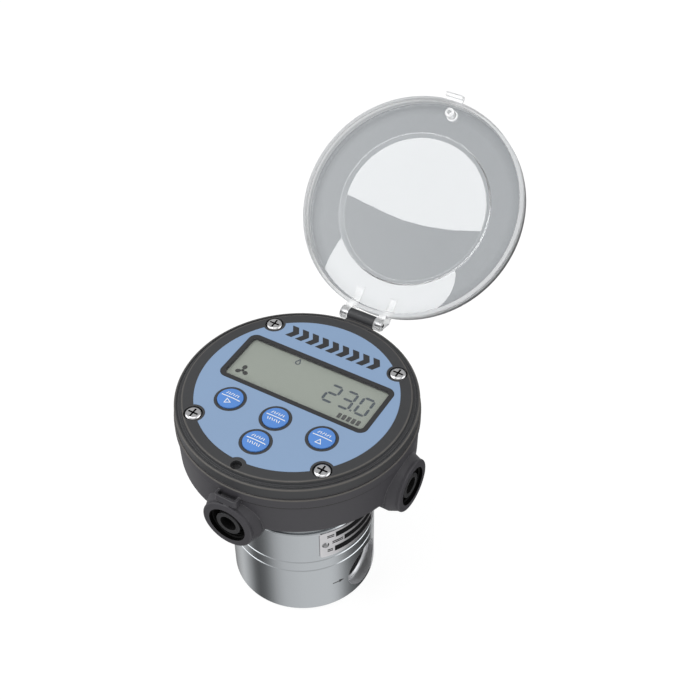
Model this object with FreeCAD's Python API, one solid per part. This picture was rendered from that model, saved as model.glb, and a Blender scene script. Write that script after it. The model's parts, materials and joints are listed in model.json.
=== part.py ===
import FreeCAD, Part
import math
import os

from FreeCAD import Vector

# Oval gear flow meter: a turned steel meter below, a round plastic display head above it, and a clear lid
# that hinges at the back of the head. The head's two conduit entries are closed by blanking plugs.
# Millimetres. +Z is up, the origin is the centre of the flat base, +X runs along the inlet port and +Y
# points to the lid's hinge. The lid is drawn open, leaning back on its stop.

# Turned stack of the meter, from the base upwards
meter_wall = 5.4
body_height = 31.5
plate_height = 6.7
cap_height = 21.1
adapter_height = 11.7
adapter_inset = 1.0
joint_chamfer = 0.45
base_chamfer = 0.8

# How far a cut or a post runs past the surface it meets
overrun = 1.0

# Ports, one on each side, with a parallel pipe thread drawn at its major diameter
port_height = 14.8
port_thread_radius = 10.48
port_thread_length = 13.0
port_face_radius = 12.4
port_face_inset = 5.3
port_mouth_chamfer = 0.8
duct_radius = 4.5
duct_web = 11.0
riser_radius = 3.2
riser_inset = 0.4

# Oval rotors
gear_centres = 20.0
gear_ovality = 0.2308
gear_teeth = 22
pressure_angle = 25.0
addendum_share = 0.85
dedendum_share = 1.0
gear_backlash = 0.1
gear_tip_gap = 0.15
gear_end_gap = 0.1
shaft_radius = 2.0
shaft_press_depth = 8.0
shaft_cap_depth = 2.0
shaft_end_gap = 0.2
shaft_running_gap = 0.04
bush_radius = 3.2
magnet_radius = 1.6
magnet_length = 4.0
magnet_inset = 4.108
magnet_cover = 0.2
mesh_lead = 0.28
gear_steps = 1440
flank_points = 5

# Seals, screws and pins of the stack
chamber_ring_margin = 3.492
chamber_ring_cord = 0.8
chamber_groove_play = 0.3
cap_screw_margin = 4.6
m4_radius = 1.95
m4_hole_radius = 2.2
m4_tap_radius = 2.0
socket_head_radius = 3.5
socket_head_height = 4.0
socket_size_radius = 1.7
socket_depth = 2.0
head_pocket_gap = 0.2
cap_screw_grip = 10.0
tap_spare = 2.0
dowel_radius = 1.5
dowel_margin = 4.8
dowel_angles = [90, 270]
dowel_engagement = 4.0
pin_play = 0.02
adapter_screw_circle = 24.0
adapter_screw_grip = 8.0

# Sensor pocket in the meter cap
pocket_radius = 16.0
pocket_floor = 4.2
sensor_board_radius = 14.5
board_thickness = 1.6
sensor_chip_size = 4.0
sensor_chip_height = 1.5
sensor_spread = 45.0
sensor_screw_radius = 1.2
sensor_screw_head = 2.3
sensor_screw_depth = 2.5

# Nameplate on the meter cap, held by two drive rivets
plate_middle_angle = -15.0
plate_half_angle = 30.0
plate_edge_margin = 0.6
plate_lower_margin = 2.7
plate_gauge = 0.5
rivet_angle = 25.0
rivet_radius = 1.2
rivet_head_radius = 1.8
rivet_head_height = 0.8
rivet_length = 2.5

# Plastic bowl of the display head
head_radius = 56.3
gasket_thickness = 1.0
gasket_inset = 1.3
bowl_height = 39.2
bowl_wall = 3.0
bowl_floor = 3.5
hub_radius = 37.5
hub_height = 3.0
drum_depth = 23.6
drum_taper = 0.5
rim_wall = 3.4
flange_lip = 0.6
flange_height = 5.2
rim_neck_inset = 0.4
rim_neck_height = 0.6
lead_hole_radius = 12.0
pan_head_radius = 3.5
pan_head_height = 2.2
head_round_share = 0.7
cross_half_share = 0.11
cross_reach_share = 0.62
cross_floor_share = 0.45
bowl_screw_circle = 24.0
bowl_screw_grip = 9.0

# Seal between bowl and bezel
head_ring_inset = 2.0
head_ring_cord = 0.59
head_groove_play = 0.1
head_groove_depth = 1.2

# Conduit entries and their blanking plugs
conduit_drop = 22.4
conduit_projection = 4.5
conduit_radius = 13.0
conduit_bore_radius = 9.2
conduit_flare = 1.6
conduit_flare_length = 4.0
conduit_flare_setback = 1.5
conduit_flare_root = 12.0
conduit_edge_round = 0.9
conduit_root = 40.0
plug_gap = 0.05
plug_web = 5.0
plug_depth = 7.5
plug_hub_radius = 6.3
plug_hub_bore = 4.1
plug_hub_recess = 0.8
plug_blind_depth = 8.5

# Seal wire loop under the rim, in front
loop_half_width = 5.7
loop_wall = 1.1
loop_projection = 4.1
loop_drop = 4.5
loop_height = 3.8
loop_rib_half_width = 1.2
loop_rib_inset = 0.4
loop_round = 1.4
loop_hole_round = 0.6

# Bezel with its raised face
bezel_height = 7.3
bezel_plate = 4.0
raised_inset = 3.6
raised_slope = 0.6
ledge_drop = 1.8
groove_inner_inset = 1.9
groove_outer_inset = 1.1
groove_depth = 0.5
screw_inset = 8.3
post_radius = 4.4
post_tap_depth = 14.0
bezel_head_radius = 4.1
bezel_head_height = 2.4
crater_gap = 0.35
crater_land_radius = 5.3
crater_depth = 2.0
bezel_screw_length = 13.0

# Printed overlay on the face
overlay_inset = 9.0
overlay_thickness = 0.5
fit_gap = 0.1

# Snap hole for the lid's pin
snap_radius = 2.6
snap_depth = 3.0
snap_inset = 6.5
snap_land_radius = 4.4

# Display window and the parts below it
window_side_margin = 8.1
window_low = -7.4
window_high = 23.6
window_round = 4.0
window_thickness = 1.6
window_border = 2.3
panel_thickness = 1.6
panel_gap = 0.2
holder_half_width = 39.5
holder_margin = 0.4
holder_thickness = 3.9

# Display board under the bezel
board_drop = 8.0
board_radius = 44.0
board_notch_radius = 5.2
board_post_radius = 2.5
board_screw_radius = 0.95
board_screw_head = 2.0
board_screw_head_height = 1.3
board_screw_length = 4.5
board_post_places = [(33.0, -25.0), (-33.0, -25.0), (24.0, 34.0), (-24.0, 34.0)]

# Keys
key_radius = 6.0
key_gap = 0.2
key_ring_radius = 7.5
key_rise = 0.8
key_crown = 0.35
key_flange_radius = 7.0
key_flange_thickness = 0.9
key_stop_gap = 0.1
key_travel = 0.8
key_stem_radius = 2.0
key_stem_length = 0.2
key_places = {"left": (-24.3, -18.3), "right": (24.3, -18.3), "upper": (0.0, -18.3), "lower": (0.0, -34.4)}
switch_size = 6.0
switch_body_height = 1.5
switch_plunger_radius = 1.5

# Battery and terminals under the display board
cell_radius = 7.25
cell_length = 49.5
cell_nub_radius = 2.75
cell_nub_length = 1.0
cell_offset = 14.0
holder_base = 1.5
holder_end_wall = 2.0
holder_play = 0.25
terminal_width = 32.0
terminal_depth = 9.0
terminal_height = 10.0
terminal_offset = -29.0
terminal_ways = 6
terminal_hole_radius = 1.5

# Lid and its hinge, drawn closed and then swung open
lid_open_angle = 140.9
hinge_projection = 3.7
hinge_drop = 1.5
hinge_pin_radius = 1.0
hinge_running_gap = 0.05
knuckle_radius = 3.0
knuckle_half_length = 7.1
knuckle_side_gap = 0.3
ear_thickness = 4.1
ear_radius = 3.3
ear_edge_round = 1.1
ear_arm_bulge = 1.8
ear_gusset_reach = 44.5
ear_gusset_height = 0.9
lid_inset = 0.3
lid_wall = 2.0
lid_depth = 7.4
lid_step_radius = 36.6
lid_step = 1.4
lid_step_slope = 1.7
lid_step_lag = 0.6
lid_pin_gap = 0.3
lid_pin_bore = 1.2
lid_pin_reach = 0.9
lid_tab_half_width = 4.5
lid_tab_projection = 2.8
lid_tab_thickness = 1.9
lid_tab_drop = 2.2
lid_tab_lip = 1.5

# The turned meter is as wide as its rotors, their chamber's seal and the cap screws need
gear_half = gear_centres / 2
gear_parameter = gear_half * (1 - gear_ovality ** 2)
gear_long_radius = gear_parameter / (1 - gear_ovality)
magnet_offset = gear_long_radius - magnet_inset
riser_offset = gear_half - riser_inset
chamber_ring_radius = gear_half + gear_long_radius + chamber_ring_margin
cap_screw_circle = chamber_ring_radius + cap_screw_margin
dowel_circle = chamber_ring_radius + dowel_margin
meter_radius = cap_screw_circle + meter_wall
adapter_radius = meter_radius - adapter_inset
gasket_radius = adapter_radius - gasket_inset

# Radii and reaches that follow from the head's radius
drum_low_radius = head_radius - drum_taper
flange_radius = head_radius + flange_lip
rim_neck_radius = head_radius - rim_neck_inset
rim_inner_radius = head_radius - rim_wall
head_ring_radius = head_radius - head_ring_inset
conduit_reach = head_radius + conduit_projection
loop_reach = head_radius + loop_projection
raised_radius = head_radius - raised_inset
groove_inner_radius = head_radius - groove_inner_inset
groove_outer_radius = head_radius - groove_outer_inset
screw_circle = head_radius - screw_inset
crater_radius = bezel_head_radius + crater_gap
overlay_radius = head_radius - overlay_inset
snap_offset = head_radius - snap_inset
window_half_width = overlay_radius - window_side_margin
hinge_offset = head_radius + hinge_projection
lid_radius = head_radius - lid_inset
lid_tab_reach = lid_radius + lid_tab_projection

# Heights that follow from the stack
body_top = body_height
plate_top = body_top + plate_height
cap_top = plate_top + cap_height
adapter_top = cap_top + adapter_height
bowl_bottom = adapter_top + gasket_thickness
bowl_rim = bowl_bottom + bowl_height
face = bowl_rim + bezel_height
bezel_under = face - bezel_plate
board_top = face - board_drop
board_under = board_top - board_thickness
conduit_z = bowl_rim - conduit_drop
pocket_bottom = plate_top + pocket_floor
diagonals = [45, 135, 225, 315]
quarters = [0, 90, 180, 270]


def closed_wire(points, rounds):
    # A closed wire through flat points, with a tangent arc at each corner whose round isn't zero
    arcs = []
    for index, corner in enumerate(points):
        size = rounds.get(index, 0)
        if size == 0:
            arcs.append((corner, None, corner))
            continue
        before = (points[index - 1] - corner).normalize()
        after = (points[(index + 1) % len(points)] - corner).normalize()
        half = before.getAngle(after) / 2
        reach = size / math.tan(half)
        middle_way = (before + after).normalize()
        middle = corner + middle_way * (size / math.sin(half) - size)
        arcs.append((corner + before * reach, middle, corner + after * reach))
    edges = []
    for index, (start, middle, end) in enumerate(arcs):
        if middle is not None:
            edges.append(Part.Arc(start, middle, end).toShape())
        following = arcs[(index + 1) % len(arcs)][0]
        edges.append(Part.makeLine(end, following))
    return Part.Wire(edges)


def revolved(profile, rounds=None):
    # A solid of revolution about Z from (radius, height) points
    points = [Vector(radius, 0, height) for radius, height in profile]
    outline = Part.Face(closed_wire(points, rounds or {}))
    return outline.revolve(Vector(0, 0, 0), Vector(0, 0, 1), 360)


def cylinder(radius, low, high, place=(0, 0)):
    return Part.makeCylinder(radius, high - low, Vector(place[0], place[1], low))


def cylinder_along(radius, start, end):
    # A cylinder between two points
    way = end - start
    return Part.makeCylinder(radius, way.Length, start, way)


def box(low, high):
    size = Vector(*high) - Vector(*low)
    return Part.makeBox(size.x, size.y, size.z, Vector(*low))


def rounded_box(low, high, size):
    # A box whose four upright edges are rounded
    corners = [(low[0], low[1]), (high[0], low[1]), (high[0], high[1]), (low[0], high[1])]
    points = [Vector(x, y, low[2]) for x, y in corners]
    outline = closed_wire(points, {index: size for index in range(4)})
    return Part.Face(outline).extrude(Vector(0, 0, high[2] - low[2]))


def ring(radius, cord, height):
    return Part.makeTorus(radius, cord, Vector(0, 0, height))


def turned(shape, angle):
    copy = shape.copy()
    copy.rotate(Vector(0, 0, 0), Vector(0, 0, 1), angle)
    return copy


def on_circle(radius, angle):
    return (radius * math.cos(math.radians(angle)), radius * math.sin(math.radians(angle)))


def fused(shapes):
    return shapes[0].fuse(shapes[1:]).removeSplitter()


def stack_disc(low, high, low_chamfer, high_chamfer):
    # One slice of the turned meter, with its two edges chamfered
    profile = [
        (0, low),
        (meter_radius - low_chamfer, low),
        (meter_radius, low + low_chamfer),
        (meter_radius, high - high_chamfer),
        (meter_radius - high_chamfer, high),
        (0, high),
    ]
    return revolved(profile)


def ring_groove(low, high):
    # The space for one of the two chamber seals
    half = chamber_ring_cord + chamber_groove_play
    outer = cylinder(chamber_ring_radius + half, low, high)
    return outer.cut(cylinder(chamber_ring_radius - half, low, high))


groove_height = 2 * chamber_ring_cord


def socket_screw(seat, length, place):
    # A socket head screw whose head stands on the seat height
    head = cylinder(socket_head_radius, seat, seat + socket_head_height, place)
    corners = []
    for side in range(7):
        x, y = on_circle(socket_size_radius, 60 * side)
        corners.append(Vector(place[0] + x, place[1] + y, seat + socket_head_height - socket_depth))
    socket = Part.Face(Part.makePolygon(corners)).extrude(Vector(0, 0, socket_depth))
    return fused([head.cut(socket), cylinder(m4_radius, seat - length, seat, place)])


def pan_screw(
    seat, length, place, radius=m4_radius, button_radius=pan_head_radius, button_height=pan_head_height
):
    # A pan head screw with a cross recess, its head on the seat height
    profile = [
        (0, seat - length),
        (radius, seat - length),
        (radius, seat),
        (button_radius, seat),
        (button_radius, seat + button_height),
        (0, seat + button_height),
    ]
    screw = revolved(profile, {4: button_height * head_round_share})
    slot_half = button_radius * cross_half_share
    slot_reach = button_radius * cross_reach_share
    slot_floor = seat + button_height * cross_floor_share
    cross = fused([
        box((-slot_reach, -slot_half, slot_floor), (slot_reach, slot_half, seat + button_height)),
        box((-slot_half, -slot_reach, slot_floor), (slot_half, slot_reach, seat + button_height)),
    ])
    screw = screw.cut(cross)
    screw.translate(Vector(place[0], place[1], 0))
    return screw


# Oval rotors: two alike pitch curves that roll on each other at a fixed distance between their centres.
# The radius is greatest at angle 0 and least at 90 degrees. At rest both long axes lie at the angle below,
# where the two radii at the mesh are alike.
gear_rest_angle = 90 + math.degrees(math.acos(gear_ovality)) / 2


def pitch_point(angle):
    radius = gear_parameter / (1 - gear_ovality * math.cos(2 * angle))
    return Vector(radius * math.cos(angle), radius * math.sin(angle), 0)


def pitch_lengths():
    # Length along the pitch curve from angle 0 up to each step
    lengths = [0.0]
    for step in range(gear_steps):
        start = pitch_point(2 * math.pi * step / gear_steps)
        end = pitch_point(2 * math.pi * (step + 1) / gear_steps)
        lengths.append(lengths[-1] + (end - start).Length)
    return lengths


step_lengths = pitch_lengths()
pitch_perimeter = step_lengths[-1]
tooth_pitch = pitch_perimeter / gear_teeth
gear_module = tooth_pitch / math.pi
gear_addendum = addendum_share * gear_module
gear_dedendum = dedendum_share * gear_module
gear_tip_radius = gear_long_radius + gear_addendum
chamber_radius = gear_tip_radius + gear_tip_gap


def pitch_frame(length):
    # Point, tangent and outward normal of the pitch curve at a length along it
    turns, rest = divmod(length, pitch_perimeter)
    low = 0
    high = gear_steps
    while high - low > 1:
        middle = (low + high) // 2
        if step_lengths[middle] <= rest:
            low = middle
        else:
            high = middle
    share = (rest - step_lengths[low]) / (step_lengths[high] - step_lengths[low])
    angle = 2 * math.pi * (low + share) / gear_steps
    small = 1e-4
    tangent = (pitch_point(angle + small) - pitch_point(angle - small)).normalize()
    return pitch_point(angle), tangent, Vector(tangent.y, -tangent.x, 0)


def pitch_height(point):
    # Height of a point above the pitch curve, square to it
    angle = math.atan2(point.y, point.x)
    share = 1 - gear_ovality * math.cos(2 * angle)
    lean = 2 * gear_ovality * math.sin(2 * angle) / share
    return (point.Length - gear_parameter / share) / math.hypot(1, lean)


def rack_point(crossing, side, height):
    # Where a rack with straight teeth, rolling on the pitch curve, touches the flank it cuts
    slope = math.radians(pressure_angle)
    point, tangent, normal = pitch_frame(crossing - side * height / (math.sin(slope) * math.cos(slope)))
    return point + tangent * (side * height / math.tan(slope)) + normal * height


def flank(crossing, side):
    # One tooth flank: its root point, then its points from the foot of the cut up to the tip. side is 1
    # for the flank at the greater length and -1 for the other one.
    low = 0
    high = gear_addendum
    while high - low > 1e-6:
        middle = (low + high) / 2
        if pitch_height(rack_point(crossing, side, middle)) < gear_addendum:
            low = middle
        else:
            high = middle
    points = []
    for index in range(flank_points):
        height = -gear_addendum + (high + gear_addendum) * index / (flank_points - 1)
        points.append(rack_point(crossing, side, height))
    normal = pitch_frame(crossing)[2]
    root = points[0] - normal * (gear_dedendum + pitch_height(points[0]))
    return root, points


def oval_outline():
    half_tooth = (tooth_pitch / 2 - gear_backlash) / 2
    edges = []
    roots = []
    for tooth in range(gear_teeth):
        middle = tooth * tooth_pitch
        rising_root, rising = flank(middle - half_tooth, -1)
        falling_root, falling = flank(middle + half_tooth, 1)
        for points in (rising, falling[::-1]):
            curve = Part.BSplineCurve()
            curve.interpolate(points)
            edges.append(curve.toShape())
        edges.append(Part.makeLine(rising[-1], falling[-1]))
        edges.append(Part.makeLine(rising_root, rising[0]))
        edges.append(Part.makeLine(falling[0], falling_root))
        roots.append((rising_root, falling_root))
    for tooth in range(gear_teeth):
        edges.append(Part.makeLine(roots[tooth - 1][1], roots[tooth][0]))
    return Part.Wire(Part.__sortEdges__(edges))


def oval_gear(centre, long_axis_angle, with_magnets):
    low = body_top + gear_end_gap
    high = plate_top - gear_end_gap
    gear = Part.Face(oval_outline()).extrude(Vector(0, 0, high - low))
    gear = gear.cut(cylinder(bush_radius, 0, high - low))
    if with_magnets:
        for side in (-1, 1):
            place = (side * magnet_offset, 0)
            depth = high - low - magnet_cover - magnet_length
            gear = gear.cut(cylinder(magnet_radius, depth, high - low, place))
    gear.rotate(Vector(0, 0, 0), Vector(0, 0, 1), long_axis_angle)
    gear.translate(Vector(0, centre, low))
    return gear


def rotor_bush(centre):
    low = body_top + gear_end_gap
    high = plate_top - gear_end_gap
    bore = cylinder(shaft_radius + shaft_running_gap, low, high, (0, centre))
    return cylinder(bush_radius, low, high, (0, centre)).cut(bore)


def rotor_magnets(centre, long_axis_angle):
    high = plate_top - gear_end_gap - magnet_cover
    magnets = []
    for turn in (0, 180):
        x, y = on_circle(magnet_offset, long_axis_angle + turn)
        magnets.append(cylinder(magnet_radius, high - magnet_length, high, (x, centre + y)))
    return Part.makeCompound(magnets)


def rotor_shaft(centre):
    top = plate_top + shaft_cap_depth - shaft_end_gap
    return cylinder(shaft_radius, body_top - shaft_press_depth, top, (0, centre))


def port_cut():
    # Spot face, thread and duct of one port along +X, and the riser from its duct to the chamber
    face_x = meter_radius - port_face_inset
    thread_end = face_x - port_thread_length
    axis = Vector(0, 0, port_height)
    face = axis + Vector(face_x, 0, 0)
    spot = cylinder_along(port_face_radius, face, axis + Vector(meter_radius + overrun, 0, 0))
    thread = cylinder_along(port_thread_radius, axis + Vector(thread_end, 0, 0), face)
    mouth = Part.makeCone(
        port_thread_radius,
        port_thread_radius + port_mouth_chamfer,
        port_mouth_chamfer,
        axis + Vector(face_x - port_mouth_chamfer, 0, 0),
        Vector(1, 0, 0),
    )
    duct = cylinder_along(duct_radius, axis + Vector(duct_web / 2, 0, 0), axis + Vector(thread_end, 0, 0))
    riser = cylinder(riser_radius, port_height, body_top, (riser_offset, 0))
    return fused([spot, thread, mouth, duct, riser])


def meter_body():
    body = stack_disc(0, body_top, base_chamfer, joint_chamfer)
    cuts = [port_cut(), turned(port_cut(), 180)]
    cuts.append(ring_groove(body_top - groove_height, body_top))
    for angle in diagonals:
        place = on_circle(cap_screw_circle, angle)
        cuts.append(cylinder(m4_tap_radius, body_top - cap_screw_grip - tap_spare, body_top, place))
    for angle in dowel_angles:
        place = on_circle(dowel_circle, angle)
        cuts.append(cylinder(dowel_radius + pin_play, body_top - dowel_engagement, body_top, place))
    for side in (-1, 1):
        cuts.append(cylinder(shaft_radius, body_top - shaft_press_depth, body_top, (0, side * gear_half)))
    return body.cut(cuts)


def rotor_plate():
    # The slice that holds the rotors: a figure of eight with a pocket at each side of its waist
    plate = stack_disc(body_top, plate_top, joint_chamfer, joint_chamfer)
    cuts = []
    for side in (-1, 1):
        cuts.append(cylinder(chamber_radius, body_top, plate_top, (0, side * gear_half)))
        cuts.append(cylinder(riser_radius, body_top, plate_top, (side * riser_offset, 0)))
    for angle in diagonals:
        cuts.append(cylinder(m4_hole_radius, body_top, plate_top, on_circle(cap_screw_circle, angle)))
    for angle in dowel_angles:
        place = on_circle(dowel_circle, angle)
        cuts.append(cylinder(dowel_radius + pin_play, body_top, plate_top, place))
    return plate.cut(cuts)


def rivet_way(angle):
    return Vector(math.cos(math.radians(angle)), math.sin(math.radians(angle)), 0)


rivet_angles = [plate_middle_angle - rivet_angle, plate_middle_angle + rivet_angle]
plate_low_z = plate_top + plate_lower_margin
plate_high_z = cap_top - plate_edge_margin
rivet_z = (plate_low_z + plate_high_z) / 2
cap_screw_seat = cap_top - socket_head_height - head_pocket_gap


def meter_cap():
    cap = stack_disc(plate_top, cap_top, joint_chamfer, joint_chamfer)
    cuts = [ring_groove(plate_top, plate_top + groove_height)]
    cuts.append(cylinder(pocket_radius, pocket_bottom, cap_top))
    cuts.append(cylinder(sensor_screw_radius, pocket_bottom - sensor_screw_depth, pocket_bottom))
    for angle in diagonals:
        place = on_circle(cap_screw_circle, angle)
        cuts.append(cylinder(m4_hole_radius, plate_top, cap_top, place))
        cuts.append(cylinder(socket_head_radius + head_pocket_gap, cap_screw_seat, cap_top, place))
    for angle in quarters:
        place = on_circle(adapter_screw_circle, angle)
        cuts.append(cylinder(m4_tap_radius, cap_top - adapter_screw_grip - tap_spare, cap_top, place))
    for angle in dowel_angles:
        place = on_circle(dowel_circle, angle)
        cuts.append(cylinder(dowel_radius + pin_play, plate_top, plate_top + dowel_engagement, place))
    for side in (-1, 1):
        bearing = shaft_radius + shaft_running_gap
        cuts.append(cylinder(bearing, plate_top, plate_top + shaft_cap_depth, (0, side * gear_half)))
    for angle in rivet_angles:
        way = rivet_way(angle)
        height = Vector(0, 0, rivet_z)
        start = way * (meter_radius - rivet_length) + height
        cuts.append(cylinder_along(rivet_radius, start, way * (meter_radius + overrun) + height))
    return cap.cut(cuts)


def cap_screws():
    length = cap_screw_seat - body_top + cap_screw_grip
    places = [on_circle(cap_screw_circle, angle) for angle in diagonals]
    return Part.makeCompound([socket_screw(cap_screw_seat, length, place) for place in places])


def dowel_pins():
    low = body_top - dowel_engagement
    high = plate_top + dowel_engagement
    places = [on_circle(dowel_circle, angle) for angle in dowel_angles]
    return Part.makeCompound([cylinder(dowel_radius, low, high, place) for place in places])


def nameplate():
    # A thin sheet bent round the cap, with rounded corners and two rivet holes
    outer = meter_radius + plate_gauge
    sheet = cylinder(outer, plate_low_z, plate_high_z).cut(cylinder(meter_radius, plate_low_z, plate_high_z))
    half_width = meter_radius * math.sin(math.radians(plate_half_angle))
    window = rounded_box((plate_low_z, -half_width, 0), (plate_high_z, half_width, outer + 1), 1.5)
    window.rotate(Vector(0, 0, 0), Vector(0, 1, 0), -90)
    window.translate(Vector(outer + 1, 0, 0))
    sheet = sheet.common(turned(window, plate_middle_angle))
    for angle in rivet_angles:
        way = rivet_way(angle)
        height = Vector(0, 0, rivet_z)
        hole = cylinder_along(rivet_radius, way * (meter_radius - 1) + height, way * (outer + 1) + height)
        sheet = sheet.cut(hole)
    return sheet


def nameplate_rivets():
    # Round head drive rivets, their heads on the sheet
    seat = meter_radius + plate_gauge
    profile = [
        (0, seat + rivet_head_height),
        (rivet_head_radius * 0.6, seat + rivet_head_height),
        (rivet_head_radius, seat),
        (rivet_radius, seat),
        (rivet_radius, meter_radius - rivet_length),
        (0, meter_radius - rivet_length),
    ]
    rivets = []
    for angle in rivet_angles:
        rivet = revolved(profile, {1: 0.8})
        rivet.rotate(Vector(0, 0, 0), Vector(0, 1, 0), 90)
        rivet.translate(Vector(0, 0, rivet_z))
        rivets.append(turned(rivet, angle))
    return Part.makeCompound(rivets)


def sensor_board():
    # Round board with two magnetic sensors, each above the path of the rotor's magnets
    top = pocket_bottom + board_thickness
    pieces = [cylinder(sensor_board_radius, pocket_bottom, top)]
    half = sensor_chip_size / 2
    for side in (-1, 1):
        x, y = on_circle(magnet_offset, -90 + side * sensor_spread)
        y += gear_half
        chip = box((x - half, y - half, top), (x + half, y + half, top + sensor_chip_height))
        pieces.append(chip)
    board = fused(pieces)
    return board.cut(cylinder(sensor_screw_radius + pin_play, pocket_bottom, top))


def sensor_screw():
    seat = pocket_bottom + board_thickness
    length = board_thickness + sensor_screw_depth
    return pan_screw(seat, length, (0, 0), sensor_screw_radius, sensor_screw_head, board_screw_head_height)


def neck_adapter():
    # Turned ring between the meter and the head, screwed to the cap from above
    profile = [
        (pocket_radius, cap_top),
        (adapter_radius, cap_top),
        (adapter_radius, adapter_top),
        (pocket_radius, adapter_top),
    ]
    adapter = revolved(profile)
    cuts = []
    for angle in quarters:
        place = on_circle(adapter_screw_circle, angle)
        cuts.append(cylinder(m4_hole_radius, cap_top, adapter_top, place))
        seat = adapter_top - socket_head_height - head_pocket_gap
        cuts.append(cylinder(socket_head_radius + head_pocket_gap, seat, adapter_top, place))
    for angle in diagonals:
        place = on_circle(bowl_screw_circle, angle)
        cuts.append(cylinder(m4_tap_radius, adapter_top - bowl_screw_grip - 1, adapter_top, place))
    return adapter.cut(cuts)


def adapter_screws():
    seat = adapter_top - socket_head_height - head_pocket_gap
    length = seat - cap_top + adapter_screw_grip
    places = [on_circle(adapter_screw_circle, angle) for angle in quarters]
    return Part.makeCompound([socket_screw(seat, length, place) for place in places])


def neck_gasket():
    sheet = cylinder(gasket_radius, adapter_top, bowl_bottom)
    cuts = [cylinder(pocket_radius, adapter_top, bowl_bottom)]
    for angle in diagonals:
        cuts.append(cylinder(m4_hole_radius, adapter_top, bowl_bottom, on_circle(bowl_screw_circle, angle)))
    return sheet.cut(cuts)


# Cone under the bowl, from the hub out to the lower edge of the drum
cone_low_z = bowl_bottom + hub_height
drum_low_z = bowl_rim - drum_depth
cone_slope = (drum_low_z - cone_low_z) / (drum_low_radius - hub_radius)
cone_rise = bowl_wall * math.hypot(1, cone_slope)
flange_top = bowl_rim - rim_neck_height
flange_low = flange_top - flange_height


def bowl_outside():
    profile = [
        (0, bowl_bottom),
        (hub_radius, bowl_bottom),
        (hub_radius, cone_low_z),
        (drum_low_radius, drum_low_z),
        (head_radius, flange_low),
        (flange_radius, flange_low),
        (flange_radius, flange_top),
        (rim_neck_radius, flange_top),
        (rim_neck_radius, bowl_rim),
        (0, bowl_rim),
    ]
    return revolved(profile, {2: 2.0, 3: 1.6, 5: 0.3, 6: 0.35})


def bowl_inside():
    floor_z = bowl_bottom + bowl_floor
    floor_radius = hub_radius + (floor_z - cone_rise - cone_low_z) / cone_slope
    wall_z = cone_low_z + (rim_inner_radius - hub_radius) * cone_slope + cone_rise
    profile = [
        (0, floor_z),
        (floor_radius, floor_z),
        (rim_inner_radius, wall_z),
        (rim_inner_radius, bowl_rim),
        (0, bowl_rim),
    ]
    return revolved(profile, {1: 1.5, 2: 3.0})


def conduit_boss():
    # One boss along +X, flared where it meets the drum
    start = Vector(conduit_root, 0, conduit_z)
    boss = cylinder_along(conduit_radius, start, Vector(conduit_reach, 0, conduit_z))
    rims = []
    for edge in boss.Edges:
        at_face = edge.BoundBox.XMin > conduit_reach - 0.01
        if at_face and len(edge.Vertexes) == 1:
            rims.append(edge)
    boss = boss.makeFillet(conduit_edge_round, rims)
    flare = Part.makeCone(
        conduit_radius + conduit_flare,
        conduit_radius,
        conduit_flare_length,
        Vector(head_radius - conduit_flare_setback, 0, conduit_z),
        Vector(1, 0, 0),
    )
    root = cylinder_along(
        conduit_radius + conduit_flare,
        Vector(head_radius - conduit_flare_root, 0, conduit_z),
        Vector(head_radius - conduit_flare_setback, 0, conduit_z),
    )
    return fused([boss, flare, root])


def conduit_bore():
    return cylinder_along(
        conduit_bore_radius,
        Vector(conduit_root, 0, conduit_z),
        Vector(conduit_reach + 1, 0, conduit_z),
    )


def seal_loop():
    # Loop under the flange in front, with a rib down to the boss
    top = bowl_rim - loop_drop
    low = top - loop_height
    inside = loop_half_width - loop_wall
    back = -rim_inner_radius - overrun
    outer = rounded_box((-loop_half_width, -loop_reach, low), (loop_half_width, back, top), loop_round)
    hole = rounded_box((-inside, -loop_reach + loop_wall, low), (inside, back - overrun, top), loop_hole_round)
    rib_low = conduit_z + conduit_radius - 1
    rib = box(
        (-loop_rib_half_width, -loop_reach + loop_rib_inset, rib_low),
        (loop_rib_half_width, -loop_reach + loop_wall, low),
    )
    return fused([outer.cut(hole), rib])


def housing_bowl():
    outside = bowl_outside()
    posts = []
    for angle in diagonals:
        place = on_circle(screw_circle, angle)
        posts.append(cylinder(post_radius, bowl_bottom, bowl_rim, place).common(outside))
        posts.append(cylinder(post_radius, bowl_rim - overrun, bezel_under, place))
    bosses = [conduit_boss(), turned(conduit_boss(), -90)]
    shell = fused([outside] + bosses + [seal_loop()]).cut(bowl_inside())
    bowl = fused([shell] + posts)
    lead_hole = cylinder(lead_hole_radius, bowl_bottom, bowl_bottom + bowl_floor)
    cuts = [conduit_bore(), turned(conduit_bore(), -90), lead_hole]
    for angle in diagonals:
        place = on_circle(screw_circle, angle)
        cuts.append(cylinder(m4_tap_radius, bezel_under - post_tap_depth, bezel_under, place))
        place = on_circle(bowl_screw_circle, angle)
        cuts.append(cylinder(m4_hole_radius, bowl_bottom, bowl_bottom + bowl_floor, place))
    half = head_ring_cord + head_groove_play
    groove_low = bowl_rim - head_groove_depth
    groove = cylinder(head_ring_radius + half, groove_low, bowl_rim)
    cuts.append(groove.cut(cylinder(head_ring_radius - half, groove_low, bowl_rim)))
    return bowl.cut(cuts)


def bowl_screws():
    seat = bowl_bottom + bowl_floor
    length = seat - adapter_top + bowl_screw_grip
    places = [on_circle(bowl_screw_circle, angle) for angle in diagonals]
    return Part.makeCompound([pan_screw(seat, length, place) for place in places])


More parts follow.
